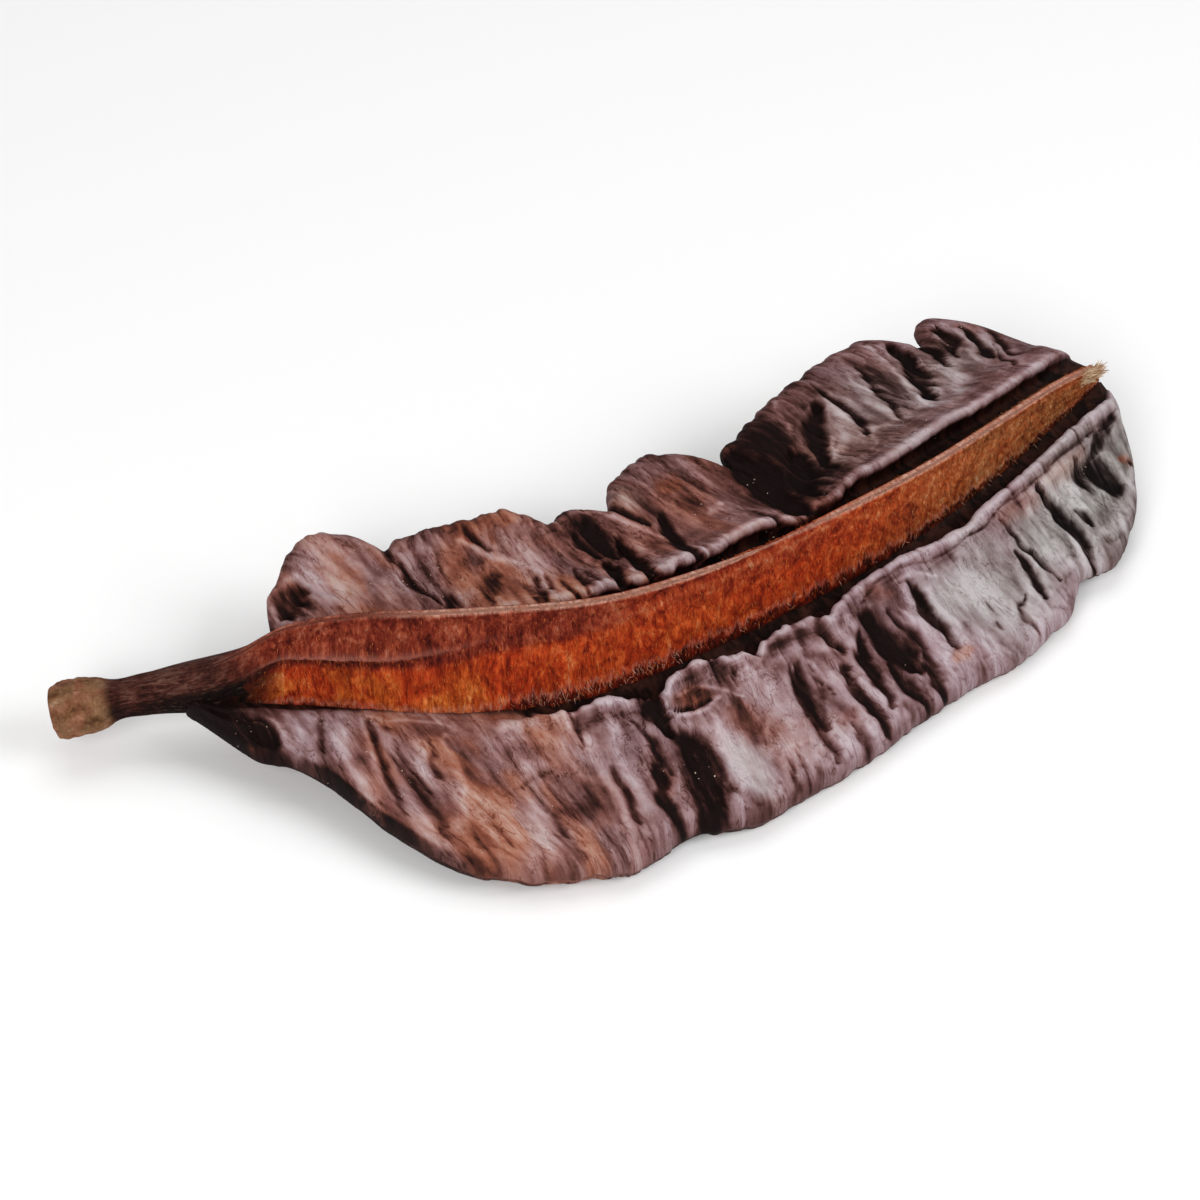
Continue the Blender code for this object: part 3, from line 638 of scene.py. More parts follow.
        ("hollow", 1.1, 1.8, 95.6, 19.5, 95.3, 25, 95, 32), ("pale", 0.8, 0.7, 96.9, 22, 96.6, 30),
        ("hollow", 1.2, 1.9, 101.2, 15.5, 98.9, 20, 98, 28),
        ("pale", 1.1, 0.9, 100.8, 12.3, 99.2, 15.3, 98, 17.5), ("pale", 0.7, 0.7, 100.4, 25, 99.7, 31),
        ("shade", 4.5, 0.8, 101.5, 16, 104.5, 22, 104, 28),
        ("hollow", 2.8, 2.5, 104, 14, 104.5, 19, 105.5, 24),
        ("hollow", 1.2, 1.7, 102, 22, 101.8, 27, 103, 31), ("pale", 0.6, 0.6, 104.2, 27.5, 104.8, 31),
        ("hollow", 1.3, 1.9, 107, 24, 106.4, 30), ("crease", 0.9, 1.4, 107.6, 14.5, 108.3, 19, 108, 26),
        ("rust", 1.6, 0.8, 106, 10.8, 109.5, 12.5), ("pale", 1.3, 0.9, 110.3, 15.5, 110.4, 21, 110, 27),
        ("hollow", 1.15, 2.5, 113.5, 12.2, 113.6, 17, 113.2, 24.5),
        ("ridge", 0.6, 0.8, 111.6, 11.2, 115.5, 11.4, 118.6, 13.4),
        ("ridge", 0.7, 0.6, 115.4, 14, 115.8, 20, 116, 28), ("rust", 1.8, 0.6, 111.5, 26.8, 114.5, 26.3),
        ("pale", 5.5, 1, 121, 16, 123, 21, 123, 26), ("pale", 2, 0.7, 118, 26, 120, 29),
        ("cool", 11, 0.75, 119, 18, 131, 22), ("crease", 0.5, 0.6, 122.6, 20.5, 122.2, 23.5),
        ("crease", 0.5, 0.6, 121.3, 24, 121.5, 26),
        ("crease", 0.8, 1, 129, 23.6, 126.4, 24.6, 126, 27.5, 126.6, 31),
        ("hollow", 0.8, 1.2, 132.9, 17.3, 132.3, 21.5, 131.4, 26),
        ("crease", 0.7, 1.4, 133.8, 11.5, 134.3, 15, 134.9, 19, 135.3, 25),
        ("pale", 2.1, 1, 138.6, 13, 138.6, 20, 138.4, 25), ("cool", 12, 1, 138, 18, 150, 18, 163, 14),
        ("hollow", 1.35, 2.4, 143, 11.3, 144.4, 17, 144.5, 21, 144, 27),
        ("pale", 1.8, 0.9, 147.4, 12.5, 148.6, 17), ("hollow", 0.8, 0.9, 147.2, 16.8, 148.2, 20.5),
        ("hollow", 3.2, 2, 152.2, 12.8, 155.5, 15, 156.6, 18.6),
        ("hollow", 1.5, 1.5, 156, 12, 160, 10, 163.5, 9.2),
        ("pale", 1.8, 1, 147.5, 23, 153, 23.8, 158, 21.3, 162, 18),
        ("pale", 1, 0.8, 137, 10, 146, 10.2, 156, 9.6), ("hollow", 0.7, 1, 162.3, 16.2, 163, 16.7),
        ("rust", 1.2, 1, 161.5, 15.4, 163.2, 16.4),
    ),
}
farWing = {
    "side": 1,
    "ends": (13.5, 167.8),
    # broad lightness along the wing: partly its own tone, partly painted light and shade
    "light": (
        (13, 0.50), (24, 0.60), (36, 0.63), (44, 0.62), (56, 0.58), (66, 0.61), (76, 0.50), (84, 0.55),
        (96, 0.60), (106, 0.50), (112, 0.30), (122, 0.42), (132, 0.57), (146, 0.60), (158, 0.54),
        (168, 0.54),
    ),
    "warmth": (
        (13, 0.5), (30, 0.45), (44, 0.6), (70, 0.65), (84, 0.5), (100, 0.45), (112, 0.5), (124, 0.3),
        (140, 0.15), (168, 0.1),
    ),
    "width": (
        (13.5, 8), (18, 14.8), (23, 19), (28, 23.8), (34, 27.2), (38, 27), (41, 24), (44, 26), (50, 27.8),
        (58, 29.4), (64, 30), (69, 28.4), (73.5, 25.4), (80, 26.8), (86, 23.8), (90, 27.6), (96, 30),
        (103, 30.4), (107.5, 28), (111, 21.4), (113, 25), (118, 26.6), (128, 29.4), (139, 30.6),
        (150, 30.4), (155, 29), (158, 22.4), (160.5, 25), (165, 25.4), (167.8, 20),
    ),
    "slant": ((13, -0.8), (30, -0.8), (60, -0.45), (100, -0.45), (168, -0.5)),
    "lip": (
        (13, 0.0), (45, 0.1), (60, 0.6), (75, 1.0), (105, 1.0), (110, 0.4), (116, 1.0), (150, 1.0),
        (168, 0.5),
    ),
    "lipWander": (
        (13, 0), (60, 0), (81, -0.8), (90, -0.8), (96, 0), (98, 0.2), (103, -0.8), (107, -2.2),
        (111, -1.5), (115, -1.4), (119, -0.2), (125, -0.5), (133, -0.5), (140, -0.5), (145, -1.2),
        (155, -1.2), (168, -1),
    ),
    "droop": 0.0,
    "nicks": ((13, 0), (50, 0.6), (60, 1.0), (104, 1.0), (112, 0.3), (120, 0.12), (168, 0.2)),
    "restless": ((13, 1.0), (108, 1.0), (116, 0.5), (168, 0.6)),
    "hollowShade": ((13, 0.8), (30, 0.65), (68, 0.65), (78, 0.75), (120, 0.75), (168, 0.8)),
    "half": ((13, 2.4), (30, 3.7), (110, 3.7), (168, 2.8)),
    "folds": (
        (21.5, 0.0, 7, 17, 3.4, 2.6), (33, 0.0, 12, 23, 3.0, 0.7), (41.5, -0.08, 9, 40, 2.8, 2.0),
        (47, 0.1, 9, 40, 2.4, 1.4), (53.5, 0.0, 10, 22, 3.2, 2.4), (63.5, 0.0, 8, 17, 2.4, 1.4),
        (72, 0.0, 8, 40, 3.0, 2.2), (79.5, 0.0, 8, 24, 3.0, 2.6), (86.8, -0.08, 8, 40, 2.8, 2.4),
        (93.5, 0.0, 11, 23, 2.6, 1.0), (101, 0.0, 12, 25, 2.6, 1.0), (111.5, -0.05, 8, 40, 4.0, 3.4),
        (118, 0.0, 9, 28, 3.0, 3.0), (124, 0.1, 11, 27, 3.0, 2.8), (131, 0.5, 10, 30, 2.6, 2.2),
        (138, 0.6, 10, 29, 2.6, 1.6), (146.5, 0.45, 11, 28, 3.2, 2.8), (157, 0.05, 8, 40, 2.4, 2.4),
        (162, 0.4, 11, 27, 2.4, 1.8),
    ),
    "strokes": (
        ("shade", 5, 0.5, 43, 14, 50, 15, 56, 16), ("shade", 6, 0.6, 77, 14, 79, 22),
        ("shade", 7, 0.4, 88, 14, 100, 20), ("shade", 8, 0.7, 110, 13, 116, 18, 121, 22),
        ("shade", 4, 0.5, 143, 16, 150, 20, 160, 18), ("cool", 9, 0.5, 118, 14, 140, 18, 160, 16),
        ("rust", 7.5, 0.75, 27, 14, 34, 20), ("rust", 2.4, 0.8, 22, 10, 30, 10.4, 38, 10.4),
        ("hollow", 2.3, 2.8, 18, 11, 21, 13, 24.3, 15.8),
        ("ridge", 0.8, 0.8, 16.5, 13.5, 19, 15.4, 22.5, 17.4, 26, 18.4),
        ("rust", 1.2, 1, 21.5, 9.3, 24, 10.8), ("pale", 5.2, 0.95, 28, 13, 31, 17, 34, 21),
        ("pale", 2, 0.9, 36, 13, 37.5, 16.5), ("rust", 1.6, 0.6, 38.9, 18, 39.2, 24),
        ("rust", 3, 0.4, 30, 22, 34, 18), ("crease", 1.1, 1.8, 44.5, 10.5, 42, 15.5, 41.3, 20, 41.4, 26),
        ("hollow", 1.3, 1.5, 45, 11, 46.2, 13.2), ("shade", 2.2, 0.8, 43.5, 16.5, 45.5, 19),
        ("pale", 1.5, 0.6, 47.7, 12, 49, 15.5), ("ridge", 0.5, 0.5, 46.9, 15.5, 47.5, 19),
        ("hollow", 1.9, 0.7, 52, 11.5, 53.5, 14, 55.4, 16.6), ("shade", 2, 0.8, 50, 18.5, 54.2, 19.8),
        ("rust", 4, 0.3, 46, 22, 54, 24), ("pale", 1.7, 0.5, 46, 22.3, 49, 23.6, 52, 24.2),
        ("ridge", 0.9, 1, 53.5, 23.8, 55.5, 21.3, 58.5, 19.2, 61.5, 17.7, 63.5, 14.6),
        ("crease", 0.8, 1.3, 55.4, 26.5, 55.6, 23.5, 57.5, 21.2),
        ("rust", 3.8, 0.95, 59.5, 23.5, 64, 22, 69, 20.5), ("rust", 6.5, 0.8, 60, 20, 69, 20),
        ("pale", 1.4, 0.9, 53.6, 9.6, 58, 11), ("crease", 0.9, 1.5, 59.6, 8.5, 60.7, 11, 61.5, 14),
        ("pale", 1.3, 0.9, 62.3, 9.2, 66, 10), ("crease", 0.8, 1.3, 62.2, 11.5, 63.6, 14.8),
        ("crease", 0.9, 1.4, 67, 8, 68.6, 11, 69.4, 13.8), ("pale", 1.1, 1, 68.8, 8.2, 71.5, 9.8),
        ("hollow", 1.1, 2.1, 72.8, 6.5, 74.2, 9.5, 75.5, 13), ("pale", 1.1, 1, 75.6, 7.8, 77.2, 10),
        ("hollow", 1.5, 2.6, 78, 6.5, 79.4, 10, 80.5, 13.5, 81.3, 17),
        ("hollow", 2.3, 1.7, 78, 15.5, 79, 19, 79.5, 22), ("hollow", 1.4, 1.3, 75.8, 15.5, 76, 20),
        ("dark", 3.4, 0.6, 78, 17, 79, 22), ("ridge", 0.8, 0.9, 82.2, 24, 84, 21.5, 85.8, 17.5, 87.5, 14),
        ("pale", 1, 0.9, 75.5, 24, 80, 24.8, 83, 23.3),
        ("crease", 1, 1.8, 86.2, 24, 86.9, 20.5, 88.4, 17), ("pale", 1.7, 0.6, 88.5, 21.5, 90.8, 24.3),
        ("cool", 2.5, 0.8, 88.5, 21.5, 91, 25), ("hollow", 1.1, 1.3, 88, 11.5, 90, 15, 91.6, 18.6),
        ("pale", 1.9, 0.6, 93, 12.5, 95, 17.3), ("shade", 2.6, 0.9, 98, 17.2, 99.2, 20),
        ("rust", 2.8, 1, 96.5, 22.5, 101, 24.5), ("pale", 0.8, 0.8, 98.3, 15.2, 101.6, 16.3),
        ("pale", 0.9, 0.6, 103, 18, 104, 23.5),
        ("hollow", 3.3, 3.2, 108.5, 8.5, 110.5, 13, 112.5, 18, 113.5, 23),
        ("hollow", 2.6, 2.8, 114, 10, 117.5, 14, 121, 18),
        ("hollow", 1.7, 2.2, 121, 12.5, 124.5, 17, 128.5, 20.8, 133.5, 23.6),
        ("dark", 5, 0.5, 112, 14, 117, 19, 121, 24),
        ("ridge", 0.8, 0.8, 123.3, 20.8, 126, 24.2, 129, 28.4),
        ("ridge", 1, 0.9, 123.8, 13.6, 127, 16.4, 131, 18.2, 134, 21, 136, 24),
        ("pale", 1.6, 1.1, 126, 14.8, 130, 16.6, 133.5, 19.5, 135.5, 22.5),
        ("ridge", 0.5, 0.7, 130, 11.8, 132.3, 13.5, 134.8, 15.1, 136.6, 14, 137.2, 12),
        ("crease", 0.9, 1.7, 132.6, 14.2, 134.8, 17, 136.8, 21, 137.6, 27),
        ("pale", 1.3, 0.8, 138.5, 14.5, 140.5, 20, 142.5, 24),
        ("crease", 0.8, 1.3, 139, 12.8, 141.2, 16.5, 143, 19.5, 146, 25),
        ("dark", 1.8, 0.5, 141, 14, 144, 19, 147, 24),
        ("ridge", 0.7, 1.4, 143.6, 11, 146.4, 16, 149.4, 22, 152.2, 27.6),
        ("hollow", 1.5, 2.4, 146.7, 13.5, 149.7, 17, 152.8, 21, 154.2, 25),
        ("pale", 1.6, 1, 149.3, 11.2, 153, 14.3, 156.3, 17.8),
        ("crease", 1, 2.2, 155, 16.5, 156.6, 19.2, 157.2, 24),
        ("hollow", 1.1, 1.6, 158, 17, 160.5, 20, 162, 22.5),
        ("pale", 0.7, 0.9, 158.5, 13.5, 161, 17, 163.5, 20.8),
        ("hollow", 0.9, 1.4, 160.5, 13, 163, 17, 164.6, 20.5),
        ("pale", 0.7, 0.8, 161, 11.3, 164, 15.5, 166, 18.6),
        ("crease", 0.8, 1.2, 162, 9.6, 164.8, 13.5, 166.3, 16.5),
        ("crease", 0.7, 1, 159, 9.5, 161, 11.5, 163.5, 14.5), ("rust", 1.2, 0.7, 164.5, 21, 166.5, 18),
    ),
}
pulp = {
    "foot": ((-22, 4.0), (0, 4.6), (20, 5.3), (60, 5.0), (100, 4.7), (150, 3.8), (168, 2.2)),
    "root": 1.8,
    "narrowest": 14.0,
    "rim": 4.0,
    "endRounding": 5.0,
    "thinnest": 0.35,
    "lipReach": 6.8,
    "lipJitter": (0.35, 0.12),
    "edgeJitter": 0.45,
    "wrinkles": {"billow": 0.21, "sharp": 0.34, "fine": 0.06, "short": 0.35},
    "landed": 0.6,  # how much of the wrinkles' depth reaches the skin beside the keel
    "underFolds": 0.7,
    "underLip": 0.6,
    "underPaint": {"pale": 0.35, "rust": 0.25, "cool": 0.2, "shade": 0.3},
    "innerRows": (
        # the skin beside the keel: flush across, flush height, curled across, curled height
        (0.0, 1.4, 0.0, 0.6), (1.0, 1.9, 1.0, 0.5), (1.8, 2.3, 2.2, 0.7), (2.6, 2.7, 3.2, 1.4),
        (3.2, 3.0, 3.5, 2.8), (3.7, 3.25, 3.25, 4.0), (4.1, 3.4, 3.3, 5.0), (4.6, 3.6, 3.9, 5.7),
        (5.2, 3.75, 4.7, 5.7), (6.0, 3.9, 5.7, 5.0), (6.8, 4.0, 6.8, 4.5),
    ),
    "stations": 425,
    "innerPoints": 40,
    "outerPoints": 62,
    "rimPoints": 12,
}


def foldDepth(wing, q, across):
    # each fold is a V with a fine crease along its bottom
    dip = np.zeros(np.broadcast(q, across).shape)
    for station, slant, begin, end, reach, depth in wing["folds"]:
        wobble = 0.6 * softNoise(across / 4.0, 0 * q + station, 5)
        offset = np.abs(q - station - slant * (across - pulp["lipReach"]) - wobble)
        line = 0.75 * np.clip(1 - offset / reach, 0, 1) ** 1.5 + 0.25 * np.exp(-((offset / 0.45) ** 2))
        dip = np.maximum(dip, depth * line * between(across, begin, end, 1.8))
    return dip


def strokeShare(path, halfWidth, q, d, sharpness):
    # 1 on the path and 0 beyond its half width, which narrows towards both ends of the path
    nearest = np.full(q.shape, np.inf)
    passed = np.zeros(q.shape)
    lengths = [math.dist(a, b) for a, b in zip(path, path[1:])]
    run = 0.0
    for (q0, d0), (q1, d1), length in zip(path, path[1:], lengths):
        t = np.clip(((q - q0) * (q1 - q0) + (d - d0) * (d1 - d0)) / length**2, 0, 1)
        far = np.hypot(q - q0 - t * (q1 - q0), d - d0 - t * (d1 - d0))
        closer = far < nearest
        nearest = np.where(closer, far, nearest)
        passed = np.where(closer, (run + t * length) / sum(lengths), passed)
        run += length
    width = halfWidth * (0.5 + 0.5 * np.sin(math.pi * np.clip(passed, 0.05, 0.95)))
    return (1 - np.clip(nearest / (width * 1.5), 0, 1) ** sharpness) ** 2


strokeSharpness = {
    "hollow": 2.2, "crease": 1.2, "ridge": 1.4, "dark": 2, "pale": 2, "rust": 2, "cool": 2, "shade": 2,
}


def workStrokes(wing, q, across, seed):
    # relief in mm and the paint that goes with it, from the wing's strokes; hollows and creases paint shade
    # into the dark paint, and ridges paint a highlight into the pale
    q = np.broadcast_to(q, across.shape)
    bentQ = q + 0.45 * softNoise(q / 2.4, across / 2.4, seed)
    bentQ = bentQ + 0.22 * softNoise(q / 0.8, across / 1.4, seed + 1)
    bentD = across + 0.6 * softNoise(q / 2.8, across / 2.8, seed + 2)
    bentD = bentD + 0.7 * softNoise(q / 0.75, across / 8.0, seed + 3)
    calmD = across + 0.3 * softNoise(q / 5.0, across / 5.0, seed + 2)
    streak = 0.76 + 0.24 * softNoise(q / 0.7, across / 5.0, seed + 4)
    relief = np.zeros(across.shape)
    paint = {kind: np.zeros(across.shape) for kind in ("dark", "pale", "rust", "cool", "shade")}

    def dab(kind, amount):
        paint[kind] = np.maximum(paint[kind], amount)

    for kind, halfWidth, strength, *numbers in wing["strokes"]:
        path = list(zip(numbers[::2], numbers[1::2]))
        runsAlong = abs(path[-1][0] - path[0][0]) > abs(path[-1][1] - path[0][1])
        share = strokeShare(path, halfWidth, bentQ, calmD if runsAlong else bentD, strokeSharpness[kind])
        if kind in ("hollow", "crease"):
            relief = np.minimum(relief, -strength * share * streak)
            # painted shade in the hollow or crease
            dab("dark", min(1.0, 0.35 + 0.35 * strength) * share**1.5)
        elif kind == "ridge":
            relief = relief + strength * share * 0.7
            # painted highlight along the ridge
            dab("pale", min(1.2, 0.5 + 0.5 * strength) * share)
        else:
            dab(kind, strength * share)
            if kind == "pale":
                relief = relief + 0.22 * strength * share
    return relief, paint


def smoothedAlong(field, reach):
    padded = np.pad(field, ((reach + 1, reach), (0, 0)), mode="edge")
    total = np.cumsum(padded, axis=0)
    return (total[2 * reach + 1:] - total[:-2 * reach - 1]) / (2 * reach + 1)


def wrinkleField(q, across, width, seed):
    # broad billows, thin creases in patches, fine grain, and short creases near the rim
    warped = q + 1.6 * layeredNoise(q / 9.0, across / 9.0, seed + 8, 2)
    billow = layeredNoise(warped / 6.5, across / 13.0, seed + 9, 2)
    patchy = ease(softNoise(q / 11.0, across / 11.0, seed + 30), -0.35, 0.5)
    sharp = creases(layeredNoise(warped / 2.4, across / 14.0, seed + 12, 2), 5)
    fine = layeredNoise(warped / 0.9, across / 5.0, seed + 15, 2)
    short = creases(softNoise(warped / 1.3, across / 3.0 + 40, seed + 18), 7)
    depth = pulp["wrinkles"]
    wrinkles = depth["billow"] * (1 - billow) + depth["sharp"] * sharp * patchy + depth["fine"] * fine
    return billow, wrinkles + depth["short"] * short * ease(across, width - 9, width - 2)


def edgeShade(wing, q, across, width, isTop, seed):
    # painted shade on the wing's dark edge: bold at the near wing's left end and faint elsewhere; over the
    # underside it lies all over, strongest towards the left end
    if not isTop:
        return 0.35 + 0.65 * (1 - ease(q, 21, 29)) + 0 * across
    bold = 1.1 - ease(q, 18, 28) - 0.6 * (1 - ease(q, 10, 14)) if wing["side"] < 0 else 0.15 + 0 * q
    edgeAt = width - 1.4 - 1.5 * (1 - ease(q, 5, 12)) + 0.5 * softNoise(q / 2.5, 7.5, seed)
    return ease(across, edgeAt - 0.45, edgeAt + 0.45) * bold


def makeWing(name, wing, seed):
    along = lambda key: curveThrough(wing[key], q)
    start, end = wing["ends"]
    even = np.linspace(0, 1, pulp["stations"])
    q = (start + (end - start) * (even - 0.028 * np.sin(2 * math.pi * even)))[:, None]  # closer at the ends
    width = along("width")
    width = width + pulp["edgeJitter"] * layeredNoise(q / 3.1, 0.5, seed + 3, 3) * ease(width, 10, 22)
    foot = np.minimum(curveThrough(pulp["foot"], q), width * 0.4)
    room = np.clip((width - foot) / pulp["narrowest"], 0.3, 1.0)
    restless = along("restless")
    slow, quick = pulp["lipJitter"]
    wander = along("lipWander") * room + slow * layeredNoise(q / 2.2, 4.5, seed + 21, 2) * room * restless
    wander = wander + quick * softNoise(q / 0.85, 6.5, seed + 23) * room
    inner = foot + pulp["lipReach"] * room + wander
    rim = pulp["rim"] * room
    lip = np.clip(along("lip") * (1 + 0.22 * layeredNoise(q / 2.6, 9.5, seed + 5, 3) * restless), 0, 1.25)
    nicks = creases(layeredNoise(q / 4.5, 2.5, seed + 33, 3), 12) * along("nicks")

    t = np.linspace(0, 1, pulp["innerPoints"])
    rows = np.array(pulp["innerRows"])
    knots = np.linspace(0, 1, len(rows))
    flushAcross, flushHeight, curledAcross, curledHeight = (
        curveThrough(np.stack([knots, column], 1), t) for column in rows.T)
    w = np.linspace(0, 1, pulp["outerPoints"] + 1)[1:]
    outerAcross = inner + (width - rim - inner) * w
    theta = np.linspace(0, math.pi / 2, pulp["rimPoints"] + 1)[1:]
    rimAcross = width - rim + rim * np.sin(theta)
    fullness = np.clip(np.minimum(q - start, end - q) / pulp["endRounding"], 0.01, 1)
    swell = np.sqrt(1 - (1 - fullness) ** 2) * room**0.5
    tAll = np.concatenate([[0.0], t])
    innerCount = len(tAll)

    def skinOf(isTop, skinSeed):
        curl = lip * (1 - 0.45 * nicks) if isTop else lip * pulp["underLip"]
        innerAcross = (flushAcross + (curledAcross - flushAcross) * curl) * room
        innerAcross = foot + innerAcross + wander * ease(t, 0.05, 0.4)
        across = np.concatenate([pulp["root"] + 0 * q, innerAcross, outerAcross, rimAcross], 1)
        out = np.clip((across - inner) / (width - inner), 0, 1)
        rounding = np.sqrt(1 - np.clip((across - width + rim) / rim, 0, 0.9995) ** 2)
        half = along("half") * (1.05 - 0.28 * np.sin(math.pi * out**0.8))
        billow, wrinkles = wrinkleField(q, across, width, skinSeed)
        if isTop:
            relief, paint = workStrokes(wing, q, across, seed + 40)
            # painted shade: the dark paint in hollows and creases, scaled by station
            paint["dark"] = paint["dark"] * along("hollowShade")
        else:
            relief = -foldDepth(wing, q, across) * pulp["underFolds"]
            paint = {"dark": -relief / 2.2}
            paint.update((kind, amount + 0 * relief) for kind, amount in pulp["underPaint"].items())

        # heights: the skin beside the keel follows its own rows, then passes into the wing's
        worked = relief - wrinkles * pulp["landed"]
        skin = (half + relief - wrinkles * ease(out, -0.02, 0.1)) * rounding
        innerHeight = flushHeight + (curledHeight - flushHeight) * curl
        share = np.concatenate([0 * q, 0 * q + ease(t, 0.4, 0.75)], 1)
        skin[:, :innerCount] = np.concatenate([0 * q + 0.9, innerHeight], 1) + worked[:, :innerCount] * share
        blend = ease(across, inner, inner + 3.0 * room)
        landed = curledHeight[-1] * curl + flushHeight[-1] * (1 - curl) + worked
        skin[:, innerCount:] = (landed * (1 - blend) + skin * blend)[:, innerCount:]
        skin = np.maximum(skin, pulp["thinnest"] * rounding) * swell
        # painted highlight on raised skin and painted shade in the dips between, from the skin's height
        # against its smoothed height
        paint["crest"] = np.clip((skin - smoothedAlong(skin, 5)) / 0.3, -1.1, 1.1)
        skin[:, -1] = 0.0

        def besideKeel(values):
            values = np.broadcast_to(values, (len(q), innerCount))
            return np.concatenate([values, 0 * skin[:, innerCount:]], 1)

        curled = np.clip(curl, 0, 1)
        # painted highlight along the top of the curled lip, less where the dark paint lies
        lipHighlight = besideKeel(np.exp(-(((tAll - 0.70) / 0.11) ** 2)) * curled)
        paint["lipHighlight"] = lipHighlight * (1 - 0.85 * np.clip(paint["dark"], 0, 1))
        # painted shade: the crevice between the keel and the lip is painted near black
        reach = 0.16 + 0.30 * curled
        paint["crevice"] = besideKeel(1 - ease(tAll, reach, reach + 0.14))
        # painted shade in the wrinkles' dips
        paint["wrinkleShade"] = wrinkles
        nearLip = besideKeel(ease(tAll, 0.45, 0.6))
        nearLip[:, innerCount:] = 1 - ease(across[:, innerCount:], inner, inner + 2.5)
        paint["lipZone"] = nearLip * np.clip(curl * 1.5, 0, 1)
        # painted shade in the notches along the lip
        if isTop:
            paint["dark"] = np.maximum(paint["dark"], 0.9 * nicks * nearLip)
        # painted light: the broad lightness along the wing, partly its own tone
        paint["light"] = along("light") + 0 * skin
        paint["edge"] = edgeShade(wing, q, across, width, isTop, skinSeed)
        paint["rust"] = np.maximum(paint["rust"], along("warmth") * (1 + 0.4 * billow))
        station = q + along("slant") * (across - 5)
        height = -wing["droop"] * out**2 + (skin if isTop else -skin)
        return place(station, wing["side"] * across, height), paint, across

    top, topPaint, topAcross = skinOf(True, seed)
    under, underPaint, underAcross = skinOf(False, seed + 100)
    wrap = lambda first, second: np.concatenate([first, second[:, -2::-1]], 1)
    attributes = {key: wrap(topPaint[key], underPaint[key]) for key in topPaint}
    grain = np.stack([wrap(q / 10 + 0 * topAcross, q / 10 + 20 + 0 * underAcross),
                      wrap(topAcross / 10, underAcross / 10)], -1)
    piece = skinPiece(name, wrap(top, under), attributes, grain)
    piece.data.materials.append(bpy.data.materials.get("driedPulp") or pulpFinish())
    return piece, np.broadcast_to(q, topAcross.shape), topAcross, top


# The wings' finish, with its grains as the spine's finish has them
pulpSkin = {
    "broad": (2.0, 0.9, 4.0, 0.55, 0.6),
    "blots": (3.6, 2.0, 3.5, 0.58, 1.0),
    "warmth": (1.1, 0.8, 3.0, 0.5, 0.6),
    "streaks": (8.0, 1.2, 3.0, 0.5, 0.3),
    "rolled": (1.5, 11.0, 3.5, 0.55, 0.5),
    "cracks": (5.5, 1.5, 3.0, 0.55, 1.4),
    "lines": (6.5, 1.9, 3.0, 0.6, 1.6),
    "hair": (30.0, 5.0, 4.0, 0.6, 0.5),
    "shades": (0.0, 0.18, 0.34, 0.50, 0.66, 0.82, 1.0),
    "lilac": (
        (0.006, 0.0019, 0.0015), (0.019, 0.0060, 0.0050), (0.052, 0.0190, 0.0165), (0.126, 0.060, 0.061),
        (0.234, 0.142, 0.152), (0.340, 0.246, 0.268), (0.46, 0.38, 0.41),
    ),
    "rusty": (
        (0.006, 0.0015, 0.0012), (0.021, 0.0055, 0.0038), (0.076, 0.0200, 0.0115), (0.190, 0.052, 0.027),
        (0.32, 0.112, 0.062), (0.41, 0.205, 0.145), (0.49, 0.32, 0.26),
    ),
    "ashen": (
        (0.0030, 0.0014, 0.0012), (0.011, 0.0065, 0.0056), (0.036, 0.026, 0.024), (0.110, 0.090, 0.083),
        (0.215, 0.192, 0.182), (0.325, 0.300, 0.290), (0.46, 0.44, 0.43),
    ),
    "creviceShadeColours": ((0.005, 0.0018, 0.0014), (0.040, 0.0125, 0.0080)),
    "specular": 0.09,
}


